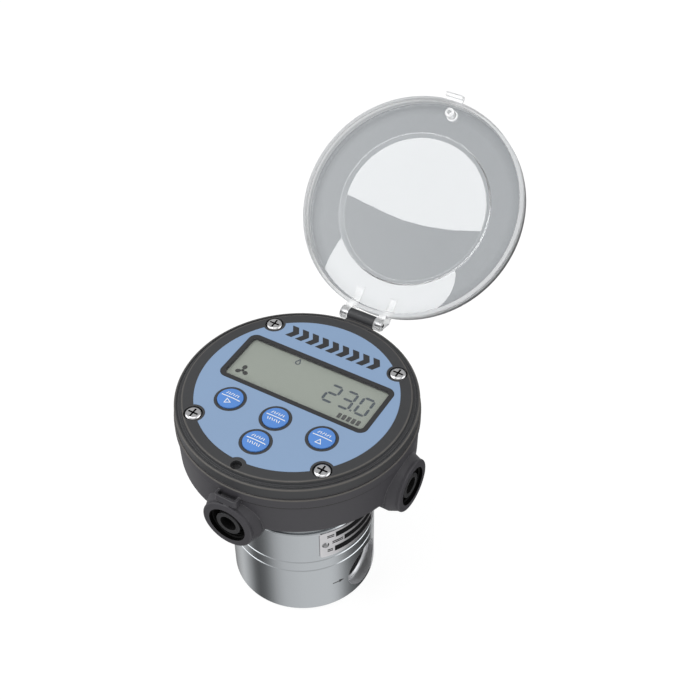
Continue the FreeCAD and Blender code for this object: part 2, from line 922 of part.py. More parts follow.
def conduit_plug():
    # Blanking plug along +X: a threaded disc deep in the bore and a hollow hub that reaches to the mouth
    hub_end = conduit_reach - plug_hub_recess
    disc_end = conduit_reach - plug_depth
    radius = conduit_bore_radius - plug_gap
    profile = [
        (0, disc_end - plug_web),
        (radius, disc_end - plug_web),
        (radius, disc_end),
        (plug_hub_radius, disc_end),
        (plug_hub_radius, hub_end),
        (plug_hub_bore, hub_end),
        (plug_hub_bore, hub_end - plug_blind_depth),
        (0, hub_end - plug_blind_depth),
    ]
    plug = revolved(profile, {4: 0.5, 5: 0.4})
    plug.rotate(Vector(0, 0, 0), Vector(0, 1, 0), 90)
    plug.translate(Vector(0, 0, conduit_z))
    return plug


key_hole_radius = key_radius + key_gap


def overlay_blank(low, high, gap, with_window):
    # The overlay's outline: a disc with notches at the screws and the snap hole, and holes for the keys
    blank = cylinder(overlay_radius - gap, low, high)
    cuts = []
    for angle in diagonals:
        cuts.append(cylinder(crater_land_radius + gap, low, high, on_circle(screw_circle, angle)))
    cuts.append(cylinder(snap_land_radius + gap, low, high, (0, -snap_offset)))
    for place in key_places.values():
        cuts.append(cylinder(key_ring_radius + gap, low, high, place))
    if with_window:
        cuts.append(window_block(low, high, fit_gap))
    return blank.cut(cuts)


def window_block(low, high, grow):
    # The window's outline, larger by grow on every side
    return rounded_box(
        (-window_half_width - grow, window_low - grow, low),
        (window_half_width + grow, window_high + grow, high),
        window_round + grow,
    )


def knuckle():
    # Fixed part of the hinge, between the lid's two ears
    axis_z = face - hinge_drop
    barrel = cylinder_along(
        knuckle_radius,
        Vector(-knuckle_half_length, hinge_offset, axis_z),
        Vector(knuckle_half_length, hinge_offset, axis_z),
    )
    web = box(
        (-knuckle_half_length, raised_radius + 1.6, axis_z - knuckle_radius),
        (knuckle_half_length, hinge_offset, face - ledge_drop),
    )
    return [barrel, web]


def bezel():
    ledge = face - ledge_drop
    profile = [
        (0, face),
        (raised_radius, face),
        (raised_radius + raised_slope, ledge),
        (groove_inner_radius, ledge),
        (groove_inner_radius, ledge - groove_depth),
        (groove_outer_radius, ledge - groove_depth),
        (groove_outer_radius, ledge),
        (head_radius, ledge),
        (head_radius, bowl_rim),
        (rim_inner_radius, bowl_rim),
        (rim_inner_radius, bezel_under),
        (0, bezel_under),
    ]
    posts = [cylinder(board_post_radius, board_top, bezel_under + 1, place) for place in board_post_places]
    solid = fused([revolved(profile, {1: 0.5, 7: 0.45})] + knuckle() + posts)
    recess = overlay_blank(face - overlay_thickness, face, 0, False)
    window_floor = face - window_thickness
    cuts = [recess, window_block(window_floor, face, fit_gap)]
    cuts.append(window_block(bezel_under, face, -window_border))
    cuts.append(cylinder(snap_radius, face - snap_depth, face, (0, -snap_offset)))
    for angle in diagonals:
        place = on_circle(screw_circle, angle)
        cuts.append(cylinder(crater_radius, face - crater_depth, face, place))
        cuts.append(cylinder(m4_hole_radius, bezel_under, face, place))
    for place in key_places.values():
        cuts.append(cylinder(key_hole_radius, bezel_under, face, place))
    for place in board_post_places:
        cuts.append(cylinder(board_screw_radius, board_top, board_top + board_screw_length, place))
    axis_z = face - hinge_drop
    cuts.append(cylinder_along(
        hinge_pin_radius,
        Vector(-knuckle_half_length, hinge_offset, axis_z),
        Vector(knuckle_half_length, hinge_offset, axis_z),
    ))
    return solid.cut(cuts)


def bezel_screws():
    seat = face - crater_depth
    screws = []
    for angle in diagonals:
        place = on_circle(screw_circle, angle)
        screws.append(
            pan_screw(seat, bezel_screw_length, place, m4_radius, bezel_head_radius, bezel_head_height)
        )
    return Part.makeCompound(screws)


def lcd_panel():
    top = face - window_thickness - panel_gap
    return window_block(top - panel_thickness, top, -window_border - panel_gap)


def lcd_holder():
    # Moulded tray that lifts the display glass off the board up to the window
    panel_low = face - window_thickness - panel_gap - panel_thickness
    shoulder = board_top + holder_thickness
    tray = rounded_box(
        (-holder_half_width, window_low - holder_margin, board_top),
        (holder_half_width, window_high + holder_margin, shoulder),
        2.0,
    )
    return fused([tray, window_block(shoulder - 1, panel_low, -window_border - 2 * panel_gap)])


def display_board():
    board = cylinder(board_radius, board_under, board_top)
    cuts = []
    for angle in diagonals:
        cuts.append(cylinder(board_notch_radius, board_under, board_top, on_circle(screw_circle, angle)))
    for place in board_post_places:
        cuts.append(cylinder(board_screw_radius + fit_gap, board_under, board_top, place))
    return board.cut(cuts)


def board_screws():
    # Small pan head screws that hold the board up against the bezel's posts
    screws = []
    for x, y in board_post_places:
        length = board_screw_length + board_thickness - 0.5
        screw = pan_screw(0, length, (0, 0), board_screw_radius, board_screw_head, board_screw_head_height)
        screw.rotate(Vector(0, 0, 0), Vector(1, 0, 0), 180)
        screw.translate(Vector(x, y, board_under))
        screws.append(screw)
    return Part.makeCompound(screws)


key_top = face + key_rise
key_shoulder = bezel_under - key_stop_gap
key_flange_low = key_shoulder - key_flange_thickness
key_stem_low = key_flange_low - key_stem_length


def key_cap(place):
    # One key: a crowned button with a flange that stops it under the bezel
    side_top = key_top - key_crown
    crown = Part.makeSphere((key_radius ** 2 + key_crown ** 2) / (2 * key_crown))
    crown.translate(Vector(0, 0, key_top - (key_radius ** 2 + key_crown ** 2) / (2 * key_crown)))
    dome = cylinder(key_radius, side_top - 0.5, key_top).common(crown)
    body = fused([
        dome,
        cylinder(key_radius, key_shoulder, side_top - 0.4),
        cylinder(key_flange_radius, key_flange_low, key_shoulder),
        cylinder(key_stem_radius, key_stem_low, key_flange_low),
    ])
    body.translate(Vector(place[0], place[1], 0))
    return body


def key_switches():
    # One push switch under each key
    half = switch_size / 2
    plunger_top = key_stem_low - key_travel - key_stop_gap
    switches = []
    for x, y in key_places.values():
        body = box((x - half, y - half, board_top), (x + half, y + half, board_top + switch_body_height))
        plunger = cylinder(switch_plunger_radius, board_top + switch_body_height - 0.5, plunger_top, (x, y))
        switches.append(fused([body, plunger]))
    return Part.makeCompound(switches)


cell_z = board_under - holder_base - holder_play - cell_radius


def battery_cell():
    half = (cell_length + cell_nub_length) / 2
    start = Vector(-half, cell_offset, cell_z)
    shoulder = Vector(half - cell_nub_length, cell_offset, cell_z)
    end = Vector(half, cell_offset, cell_z)
    nub = cylinder_along(cell_nub_radius, shoulder, end)
    return fused([cylinder_along(cell_radius, start, shoulder), nub])


def battery_holder():
    # Open tray under the board, with end walls that hold the contacts
    half = (cell_length + cell_nub_length) / 2 + holder_play
    side = cell_radius + holder_play
    wall = holder_end_wall
    low = cell_z - cell_radius * 0.4
    outer = box(
        (-half - wall, cell_offset - side - wall, low), (half + wall, cell_offset + side + wall, board_under)
    )
    inner = box((-half, cell_offset - side, low), (half, cell_offset + side, board_under - holder_base))
    return outer.cut(inner)


def terminal_block():
    # Field wiring terminals: a row of wire holes in front and screw holes below
    low = board_under - terminal_height
    half = terminal_width / 2
    depth = terminal_depth / 2
    block = box((-half, terminal_offset - depth, low), (half, terminal_offset + depth, board_under))
    cuts = []
    pitch = terminal_width / terminal_ways
    for way in range(terminal_ways):
        x = -half + pitch * (way + 0.5)
        wire_z = low + terminal_height * 0.55
        start = Vector(x, terminal_offset - depth, wire_z)
        cuts.append(cylinder_along(terminal_hole_radius, start, start + Vector(0, terminal_depth * 0.7, 0)))
        mouth = (x, terminal_offset + 1)
        cuts.append(cylinder(terminal_hole_radius, low, low + terminal_height * 0.3, mouth))
    return block.cut(cuts)


def lid_ear(side):
    # One ear round the hinge pin, with an arm over the lid's rim that ends as a low gusset on its back
    inner = knuckle_half_length + knuckle_side_gap
    axis_z = face - hinge_drop
    back = axis_z + lid_depth
    rim_y = lid_radius - lid_wall / 2
    profile = [(0, 0), (ear_radius, 0), (ear_radius, ear_thickness), (0, ear_thickness)]
    barrel = revolved(profile, {2: ear_edge_round})
    barrel.rotate(Vector(0, 0, 0), Vector(0, 1, 0), side * 90)
    barrel.translate(Vector(side * inner, hinge_offset, axis_z))
    arm_thickness = ear_thickness - ear_edge_round / 2
    low_x = inner if side > 0 else -inner - arm_thickness
    corners = [
        Vector(low_x, rim_y, axis_z),
        Vector(low_x, hinge_offset + ear_radius, axis_z),
        Vector(low_x, lid_radius + ear_arm_bulge, back + ear_gusset_height),
        Vector(low_x, lid_radius, back + ear_gusset_height),
        Vector(low_x, ear_gusset_reach, back + ear_gusset_height / 2),
        Vector(low_x, ear_gusset_reach, back - lid_wall / 2),
        Vector(low_x, rim_y, back - lid_wall / 2),
    ]
    arm = Part.Face(closed_wire(corners, {2: 1.5})).extrude(Vector(arm_thickness, 0, 0))
    return [barrel, arm]


def lid():
    rim_low = face - hinge_drop
    back = rim_low + lid_depth
    under = back - lid_wall
    slope_end = lid_step_radius + lid_step_slope
    profile = [
        (0, under + lid_step),
        (lid_step_radius, under + lid_step),
        (slope_end, under),
        (lid_radius - lid_wall, under),
        (lid_radius - lid_wall, rim_low),
        (lid_radius, rim_low),
        (lid_radius, back),
        (slope_end + lid_step_lag, back),
        (lid_step_radius + lid_step_lag, back + lid_step),
        (0, back + lid_step),
    ]
    pieces = [revolved(profile, {3: 0.8, 4: 0.4, 5: 0.4, 6: 1.0})]
    pieces += lid_ear(1) + lid_ear(-1)
    pin_radius = snap_radius - lid_pin_gap
    pieces.append(cylinder(pin_radius, face - lid_pin_reach, under + 1, (0, -snap_offset)))
    tab_inner = lid_radius - lid_wall / 2
    pieces.append(box(
        (-lid_tab_half_width, -lid_tab_reach, rim_low),
        (lid_tab_half_width, -tab_inner, rim_low + lid_tab_lip),
    ))
    pieces.append(box(
        (-lid_tab_half_width, -lid_tab_reach, rim_low - lid_tab_drop),
        (lid_tab_half_width, -lid_tab_reach + lid_tab_thickness, rim_low + lid_tab_lip),
    ))
    solid = fused(pieces)
    ear_end = knuckle_half_length + knuckle_side_gap + ear_thickness
    axis_z = face - hinge_drop
    bore = cylinder_along(
        hinge_pin_radius + hinge_running_gap,
        Vector(-ear_end, hinge_offset, axis_z),
        Vector(ear_end, hinge_offset, axis_z),
    )
    hollow = cylinder(lid_pin_bore, face - lid_pin_reach, under - 1, (0, -snap_offset))
    solid = solid.cut([bore, hollow])
    solid.rotate(Vector(0, hinge_offset, axis_z), Vector(1, 0, 0), -lid_open_angle)
    return solid


def hinge_pin():
    end = knuckle_half_length + knuckle_side_gap + ear_thickness
    axis_z = face - hinge_drop
    return cylinder_along(
        hinge_pin_radius,
        Vector(-end, hinge_offset, axis_z),
        Vector(end, hinge_offset, axis_z),
    )


nodes = {
    "meter_body": meter_body(),
    "rotor_plate": rotor_plate(),
    "meter_cap": meter_cap(),
    "chamber_seal_lower": ring(chamber_ring_radius, chamber_ring_cord, body_top - chamber_ring_cord),
    "chamber_seal_upper": ring(chamber_ring_radius, chamber_ring_cord, plate_top + chamber_ring_cord),
    "cap_screws": cap_screws(),
    "dowel_pins": dowel_pins(),
    "rotor_shaft_a": rotor_shaft(gear_half),
    "rotor_shaft_b": rotor_shaft(-gear_half),
    "oval_gear_a": oval_gear(gear_half, gear_rest_angle, True),
    "oval_gear_b": oval_gear(-gear_half, gear_rest_angle + mesh_lead, False),
    "rotor_bush_a": rotor_bush(gear_half),
    "rotor_bush_b": rotor_bush(-gear_half),
    "rotor_magnets": rotor_magnets(gear_half, gear_rest_angle),
    "sensor_board": sensor_board(),
    "sensor_screw": sensor_screw(),
    "nameplate": nameplate(),
    "nameplate_rivets": nameplate_rivets(),
    "neck_adapter": neck_adapter(),
    "adapter_screws": adapter_screws(),
    "neck_gasket": neck_gasket(),
    "housing_bowl": housing_bowl(),
    "bowl_screws": bowl_screws(),
    "conduit_plug_front": turned(conduit_plug(), -90),
    "conduit_plug_right": conduit_plug(),
    "head_seal": ring(head_ring_radius, head_ring_cord, bowl_rim - head_groove_depth + head_ring_cord),
    "bezel": bezel(),
    "bezel_screws": bezel_screws(),
    "face_overlay": overlay_blank(face - overlay_thickness, face, fit_gap, True),
    "lcd_window": window_block(face - window_thickness, face, 0),
    "lcd_panel": lcd_panel(),
    "lcd_holder": lcd_holder(),
    "display_board": display_board(),
    "board_screws": board_screws(),
    "key_switches": key_switches(),
    "battery_holder": battery_holder(),
    "battery_cell": battery_cell(),
    "terminal_block": terminal_block(),
    "lid": lid(),
    "hinge_pin": hinge_pin(),
}
for key_name, key_place in key_places.items():
    nodes["key_" + key_name] = key_cap(key_place)

os.makedirs("parts", exist_ok=True)
for node_name, shape in nodes.items():
    shape.exportStep(os.path.join("parts", node_name + ".step"))
    print(node_name, len(shape.Solids), shape.isValid(), round(shape.Volume, 1))
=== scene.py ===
import json
import math

import bmesh
import bpy
from mathutils import Matrix, Vector


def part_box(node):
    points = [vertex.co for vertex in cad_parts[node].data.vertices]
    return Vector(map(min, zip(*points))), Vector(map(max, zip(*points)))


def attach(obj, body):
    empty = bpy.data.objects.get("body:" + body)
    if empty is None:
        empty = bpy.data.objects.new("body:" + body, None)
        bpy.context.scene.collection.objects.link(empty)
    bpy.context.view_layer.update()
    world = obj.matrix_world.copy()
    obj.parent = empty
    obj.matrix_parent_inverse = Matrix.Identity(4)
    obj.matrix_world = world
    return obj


# Oval gear flow meter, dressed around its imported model. The camera, the lights, the floor and the grain of
# the materials are in metres. The dictionaries of pieces are in millimetres, which mm turns into metres.
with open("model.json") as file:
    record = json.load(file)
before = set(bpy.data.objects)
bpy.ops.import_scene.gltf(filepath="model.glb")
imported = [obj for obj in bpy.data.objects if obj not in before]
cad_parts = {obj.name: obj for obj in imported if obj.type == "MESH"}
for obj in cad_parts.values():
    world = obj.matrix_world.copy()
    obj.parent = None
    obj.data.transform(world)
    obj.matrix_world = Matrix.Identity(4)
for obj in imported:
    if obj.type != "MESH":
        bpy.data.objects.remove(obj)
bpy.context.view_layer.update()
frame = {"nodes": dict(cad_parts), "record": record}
nodes = frame["nodes"]
nodeSlots = {row["node"]: row["material_slot"] for row in frame["record"]["subparts"]}
mm = 0.001
film = 0.02 * mm  # how thick a print is, and how far its back lies over its ground
print("frame loaded:", len(nodes), "nodes")


# Camera, at the photograph's angle
cameraPlan = {
    "azimuth": 30.551,  # degrees round the meter, 0 looks along +Y
    "elevation": 44.059,
    "roll": -0.458,
    "target": Vector((0, 0, 0.1185)),  # centre of the face
    "distance": 0.5849,
    "slideRight": 0.02415,
    "slideUp": 0.01959,
    "lens": 65.93,
}


def cameraAxes(plan):
    azimuth, elevation, roll = (math.radians(plan[key]) for key in ("azimuth", "elevation", "roll"))
    flat = math.cos(elevation)
    back = Vector((math.sin(azimuth) * flat, -math.cos(azimuth) * flat, math.sin(elevation)))
    level = Vector((math.cos(azimuth), math.sin(azimuth), 0))
    rise = back.cross(level)
    right = level * math.cos(roll) + rise * math.sin(roll)
    up = rise * math.cos(roll) - level * math.sin(roll)
    return right, up, back


def makeCamera(plan):
    right, up, back = cameraAxes(plan)
    data = bpy.data.cameras.new("camera")
    data.lens = plan["lens"]
    data.sensor_width = 36
    data.clip_start = 0.02
    data.clip_end = 50
    item = bpy.data.objects.new("camera", data)
    bpy.context.scene.collection.objects.link(item)
    turn = Matrix((right, up, back)).transposed().to_4x4()
    place = plan["target"] + back * plan["distance"] + right * plan["slideRight"] + up * plan["slideUp"]
    item.matrix_world = Matrix.Translation(place) @ turn
    bpy.context.scene.camera = item
    return item


cameraItem = makeCamera(cameraPlan)
print("camera placed")


# Small helpers for node trees
def addNode(tree, kind, inputs=None, **settings):
    node = tree.nodes.new(kind)
    for name, value in settings.items():
        setattr(node, name, value)
    for name, value in (inputs or {}).items():
        node.inputs[name].default_value = value
    return node


def joinSockets(tree, source, output, target, entry):
    tree.links.new(source.outputs[output], target.inputs[entry])


def mathNode(tree, operation, first, second=None):
    node = addNode(tree, "ShaderNodeMath", operation=operation)
    for index, value in enumerate((first, second)):
        if value is None:
            continue
        if isinstance(value, (int, float)):
            node.inputs[index].default_value = value
        else:
            tree.links.new(value, node.inputs[index])
    return node.outputs[0]


def rising(tree, value, low, high):
    # 0 up to low, 1 from high on
    span = addNode(tree, "ShaderNodeMapRange", {"From Min": low, "From Max": high})
    tree.links.new(value, span.inputs["Value"])
    return span.outputs["Result"]


def falling(tree, value, low, high):
    # 1 up to low, 0 from high on
    limits = {"From Min": low, "From Max": high, "To Min": 1.0, "To Max": 0.0}
    span = addNode(tree, "ShaderNodeMapRange", limits)
    tree.links.new(value, span.inputs["Value"])
    return span.outputs["Result"]


def newGroup(name, inputs, outputs):
    # inputs: name to (socket type, value); outputs: name to socket type
    tree = bpy.data.node_groups.new(name, "ShaderNodeTree")
    for label, (kind, value) in inputs.items():
        socket = tree.interface.new_socket(name=label, in_out="INPUT", socket_type=kind)
        socket.default_value = value
    for label, kind in outputs.items():
        tree.interface.new_socket(name=label, in_out="OUTPUT", socket_type=kind)
    return tree, tree.nodes.new("NodeGroupInput"), tree.nodes.new("NodeGroupOutput")


def makeMouldedGrain():
    # Fine spark-eroded grain of a moulded surface, with a slow change of tone
    number = "NodeSocketFloat"
    tree, entry, leave = newGroup(
        "mouldedGrain",
        {"Grain Size": (number, 0.0005), "Patch Size": (number, 0.03)},
        {"Height": number, "Tone": number},
    )
    place = addNode(tree, "ShaderNodeTexCoord")
    fine = addNode(tree, "ShaderNodeTexNoise", {"Detail": 3.0, "Roughness": 0.6})
    slow = addNode(tree, "ShaderNodeTexNoise", {"Detail": 2.0, "Roughness": 0.5})
    for noise, size in ((fine, "Grain Size"), (slow, "Patch Size")):
        tree.links.new(place.outputs["Object"], noise.inputs["Vector"])
        tree.links.new(mathNode(tree, "DIVIDE", 1.0, entry.outputs[size]), noise.inputs["Scale"])
    tree.links.new(fine.outputs["Fac"], leave.inputs["Height"])
    tree.links.new(slow.outputs["Fac"], leave.inputs["Tone"])
    return tree


def makeTurnedLines():
    # Tool lines of a lathe: rings that change with height on a side and with radius on an end
    number = "NodeSocketFloat"
    tree, entry, leave = newGroup(
        "turnedLines",
        {"Line Pitch": (number, 0.0002), "Patch Size": (number, 0.02)},
        {"Height": number, "Tone": number},
    )
    place = addNode(tree, "ShaderNodeTexCoord")
    parts = addNode(tree, "ShaderNodeSeparateXYZ")
    joinSockets(tree, place, "Object", parts, "Vector")
    squareX = mathNode(tree, "MULTIPLY", parts.outputs["X"], parts.outputs["X"])
    squareY = mathNode(tree, "MULTIPLY", parts.outputs["Y"], parts.outputs["Y"])
    radius = mathNode(tree, "SQRT", mathNode(tree, "ADD", squareX, squareY))
    along = mathNode(tree, "ADD", radius, parts.outputs["Z"])
    scaled = mathNode(tree, "DIVIDE", along, entry.outputs["Line Pitch"])
    lines = addNode(tree, "ShaderNodeTexNoise", {"Scale": 1.0, "Detail": 4.0}, noise_dimensions="1D")
    tree.links.new(scaled, lines.inputs["W"])
    slow = addNode(tree, "ShaderNodeTexNoise", {"Detail": 2.0})
    joinSockets(tree, place, "Object", slow, "Vector")
    tree.links.new(mathNode(tree, "DIVIDE", 1.0, entry.outputs["Patch Size"]), slow.inputs["Scale"])
    mixed = mathNode(tree, "ADD", mathNode(tree, "MULTIPLY", lines.outputs["Fac"], 0.6),
                     mathNode(tree, "MULTIPLY", slow.outputs["Fac"], 0.4))
    tree.links.new(lines.outputs["Fac"], leave.inputs["Height"])
    tree.links.new(mixed, leave.inputs["Tone"])
    return tree


def makeFineScuffs():
    # Thin, short scuffs in all directions, as handled metal and hard plastic have
    number = "NodeSocketFloat"
    tree, entry, leave = newGroup(
        "fineScuffs",
        {"Scuff Size": (number, 0.004)},
        {"Mask": number, "Height": number},
    )
    place = addNode(tree, "ShaderNodeTexCoord")
    bend = addNode(tree, "ShaderNodeTexNoise", {"Scale": 60.0, "Detail": 1.0})
    joinSockets(tree, place, "Object", bend, "Vector")
    shift = addNode(tree, "ShaderNodeVectorMath", operation="SCALE")
    joinSockets(tree, bend, "Color", shift, 0)
    shift.inputs["Scale"].default_value = 0.006
    total = addNode(tree, "ShaderNodeVectorMath", operation="ADD")
    joinSockets(tree, place, "Object", total, 0)
    joinSockets(tree, shift, 0, total, 1)
    cells = addNode(tree, "ShaderNodeTexVoronoi", feature="DISTANCE_TO_EDGE")
    joinSockets(tree, total, 0, cells, "Vector")
    tree.links.new(mathNode(tree, "DIVIDE", 1.0, entry.outputs["Scuff Size"]), cells.inputs["Scale"])
    thin = falling(tree, cells.outputs["Distance"], 0.0, 0.03)
    tree.links.new(thin, leave.inputs["Mask"])
    tree.links.new(mathNode(tree, "SUBTRACT", 1.0, thin), leave.inputs["Height"])
    return tree


mouldedGrain = makeMouldedGrain()
turnedLines = makeTurnedLines()
fineScuffs = makeFineScuffs()


def newMaterial(name, **shader):
    material = bpy.data.materials.new(name)
    material.use_nodes = True
    surface = material.node_tree.nodes["Principled BSDF"]
    for key, value in shader.items():
        surface.inputs[key].default_value = value
    return material, material.node_tree, surface


def placeGroup(tree, group, **values):
    node = addNode(tree, "ShaderNodeGroup")
    node.node_tree = group
    for key, value in values.items():
        node.inputs[key].default_value = value
    return node


toneRange = (0.3, 0.7)  # where nearly all of a noise lies


def rampColour(tree, source, output, surface, dark, light):
    # Base Color runs from dark to light over the tone range of the source
    ramp = addNode(tree, "ShaderNodeValToRGB")
    for stop, position, colour in zip(ramp.color_ramp.elements, toneRange, (dark, light)):
        stop.position = position
        stop.color = (*colour, 1)
    joinSockets(tree, source, output, ramp, "Fac")
    joinSockets(tree, ramp, "Color", surface, "Base Color")


def rampRoughness(tree, source, output, surface, low, high):
    span = addNode(tree, "ShaderNodeMapRange", {
        "From Min": toneRange[0], "From Max": toneRange[1], "To Min": low, "To Max": high,
    })
    joinSockets(tree, source, output, span, "Value")
    joinSockets(tree, span, "Result", surface, "Roughness")


def bumpFrom(tree, source, output, surface, strength, distance):
    bump = addNode(tree, "ShaderNodeBump", {"Strength": strength, "Distance": distance})
    joinSockets(tree, source, output, bump, "Height")
    joinSockets(tree, bump, "Normal", surface, "Normal")


def scaled(colour, factor):
    return tuple(part * factor for part in colour)


def fedBy(socket):
    return socket.links[0].from_socket if socket.links else socket.default_value


def mixedColour(tree, mask, first, second):
    mix = addNode(tree, "ShaderNodeMix", data_type="RGBA")
    tree.links.new(mask, mix.inputs["Factor"])
    for index, value in ((6, first), (7, second)):
        if isinstance(value, tuple):
            mix.inputs[index].default_value = (*value, 1)
        else:
            tree.links.new(value, mix.inputs[index])
    return mix.outputs[2]


def mixedValue(tree, mask, first, second):
    mix = addNode(tree, "ShaderNodeMix", data_type="FLOAT")
    for index, value in ((0, mask), (2, first), (3, second)):
        if isinstance(value, (int, float)):
            mix.inputs[index].default_value = value
        else:
            tree.links.new(value, mix.inputs[index])
    return mix.outputs[0]


def recolour(tree, surface, mask, colour):
    # Another colour where the mask is 1
    plain = fedBy(surface.inputs["Base Color"])
    tree.links.new(mixedColour(tree, mask, plain, colour), surface.inputs["Base Color"])


def repaint(tree, surface, mask, colour, roughness, metallic):
    # Another finish where the mask is 1
    recolour(tree, surface, mask, colour)
    for name, value in (("Roughness", roughness), ("Metallic", metallic)):
        changed = mixedValue(tree, mask, fedBy(surface.inputs[name]), value)
        tree.links.new(changed, surface.inputs[name])


def mouldedMaterial(name, colour, roughness, grain=0.0004, bump=0.25, contrast=0.05, edge=0.0,
                    edgeHighlightColour=None):
    # edge: radius in metres by which sharp edges are shaded as rounded; there the colour turns to the lighter
    # edge colour given, a painted highlight
    material, tree, surface = newMaterial(name, **{"IOR": 1.46})
    group = placeGroup(tree, mouldedGrain, **{"Grain Size": grain, "Patch Size": 0.03})
    rampColour(tree, group, "Tone", surface, scaled(colour, 1 - contrast), scaled(colour, 1 + contrast))
    rampRoughness(tree, group, "Tone", surface, roughness - 0.04, roughness + 0.04)
    lift = addNode(tree, "ShaderNodeBump", {"Strength": bump, "Distance": 0.00002})
    joinSockets(tree, group, "Height", lift, "Height")
    joinSockets(tree, lift, "Normal", surface, "Normal")
    if edge:
        soft = addNode(tree, "ShaderNodeBevel", {"Radius": edge}, samples=6)
        joinSockets(tree, soft, "Normal", lift, "Normal")
        shape = addNode(tree, "ShaderNodeNewGeometry")
        match = addNode(tree, "ShaderNodeVectorMath", operation="DOT_PRODUCT")
        joinSockets(tree, shape, "Normal", match, 0)
        joinSockets(tree, soft, "Normal", match, 1)
        # Painted highlight: a lighter colour where the rounded normal turns away from the surface's own
        recolour(tree, surface, falling(tree, match.outputs["Value"], 0.78, 0.985), edgeHighlightColour)
    return material


def inkMaterial(name, colour, roughness, bump=0.05):
    return mouldedMaterial(name, colour, roughness, grain=0.0001, bump=bump)


def turnedMaterial(name, colour, roughness, pitch=0.00025, bump=0.12, streak=0.5, bore=None):
    # bore: a round hole, as a point, a way and its zones from the widest to the narrowest, each with its
    # radius in mm, colour, roughness and metallic share; these colours are painted highlight and painted
    # shade
    material, tree, surface = newMaterial(name, **{"Metallic": 1.0, "Anisotropic": streak})
    group = placeGroup(tree, turnedLines, **{"Line Pitch": pitch, "Patch Size": 0.03})
    rampColour(tree, group, "Tone", surface, scaled(colour, 0.97), scaled(colour, 1.03))
    rampRoughness(tree, group, "Tone", surface, roughness - 0.02, roughness + 0.03)
    height = group.outputs["Height"]
    if bore:
        point, way, zones = bore
        place = placeGroup(tree, axisDistance, Point=Vector(point) * mm, Way=Vector(way))
        masks = [mathNode(tree, "LESS_THAN", place.outputs["Distance"], zone[0] * mm) for zone in zones]
        for mask, zone in zip(masks, zones):
            repaint(tree, surface, mask, *zone[1:])
        height = mathNode(tree, "MULTIPLY", height, mathNode(tree, "SUBTRACT", 1.0, masks[0]))
    lines = addNode(tree, "ShaderNodeBump", {"Strength": bump, "Distance": 0.00001})
    tree.links.new(height, lines.inputs["Height"])
    joinSockets(tree, lines, "Normal", surface, "Normal")
    tangent = addNode(tree, "ShaderNodeTangent", direction_type="RADIAL", axis="Z")
    joinSockets(tree, tangent, "Tangent", surface, "Tangent")
    return material


def scuffedMaterial(name, colour, roughness, metallic=1.0, size=0.004):
    material, tree, surface = newMaterial(name, **{"Metallic": metallic})
    group = placeGroup(tree, fineScuffs, **{"Scuff Size": size})
    grain = placeGroup(tree, mouldedGrain, **{"Grain Size": 0.0008, "Patch Size": 0.01})
    rampColour(tree, grain, "Tone", surface, scaled(colour, 0.94), scaled(colour, 1.05))
    span = addNode(tree, "ShaderNodeMapRange", {"To Min": roughness, "To Max": roughness + 0.15})
    joinSockets(tree, group, "Mask", span, "Value")
    joinSockets(tree, span, "Result", surface, "Roughness")
    bumpFrom(tree, group, "Height", surface, 0.06, 0.00001)
    return material


def eitherRay(tree, first, second):
    path = addNode(tree, "ShaderNodeLightPath")
    return mathNode(tree, "MAXIMUM", path.outputs[first], path.outputs[second])


def blendShaders(tree, share, first, second):
    blend = addNode(tree, "ShaderNodeMixShader")
    tree.links.new(share, blend.inputs["Fac"])
    tree.links.new(first, blend.inputs[1])
    tree.links.new(second, blend.inputs[2])
    joinSockets(tree, blend, "Shader", tree.nodes["Material Output"], "Surface")


def clearMaterial(name, tint, roughness, ior, shade):
    # Clear moulded plastic: the tint is what one wall lets through, and shade what its shadow keeps. Light
    # goes straight through for shadows and for matt surfaces, so that what lies behind is lit.
    material, tree, surface = newMaterial(name, **{
        "Base Color": (*tint, 1), "Transmission Weight": 1.0, "IOR": ior, "Roughness": roughness,
    })
    clear = addNode(tree, "ShaderNodeBsdfTransparent", {"Color": (*shade, 1)})
    through = eitherRay(tree, "Is Shadow Ray", "Is Diffuse Ray")
    blendShaders(tree, through, surface.outputs["BSDF"], clear.outputs["BSDF"])
    return material, tree, surface


# The open lid: its hinge, the swing from closed, the depth of its two flat levels, and where it is frosted,
# lighter as a painted reflection or darker as painted shade
lidPlan = {
    "hinge": Vector((0, 60.0, 117.0)), "openAngle": 140.9, "middleReach": 60.0,
    "panelDepth": 5.4, "discDepth": 6.8,
    "wallFrom": 53.6, "wallTo": 54.2, "deepFrom": 1.6, "deepTo": 3.2,  # the wall's inside is clear deep down
    "outerFrom": 55.3, "outerTo": 55.6, "shadeFrom": 48.0, "shadeTo": 54.4,
    "stepFrom": 36.5, "stepTo": 38.9, "stepSoft": 0.2,
    "pinAlong": 49.8, "pinRadius": 2.6, "pinSoft": 0.2,
    "armFrom": 7.3, "armTo": 11.6, "armSoft": 0.1, "armReach": 15.8, "armEnd": 16.1, "armShare": 0.38,
}


def lidPoint(across, along, depth):
    # A point of the open lid: across it, along it from its middle, and in from its rim plane
    turn = math.radians(lidPlan["openAngle"])
    outward = Vector((0, -math.cos(turn), math.sin(turn)))
    inward = Vector((0, math.sin(turn), math.cos(turn)))
    place = lidPlan["hinge"] + outward * (lidPlan["middleReach"] + along) + inward * depth
    return (place + Vector((across, 0, 0))) * mm, inward


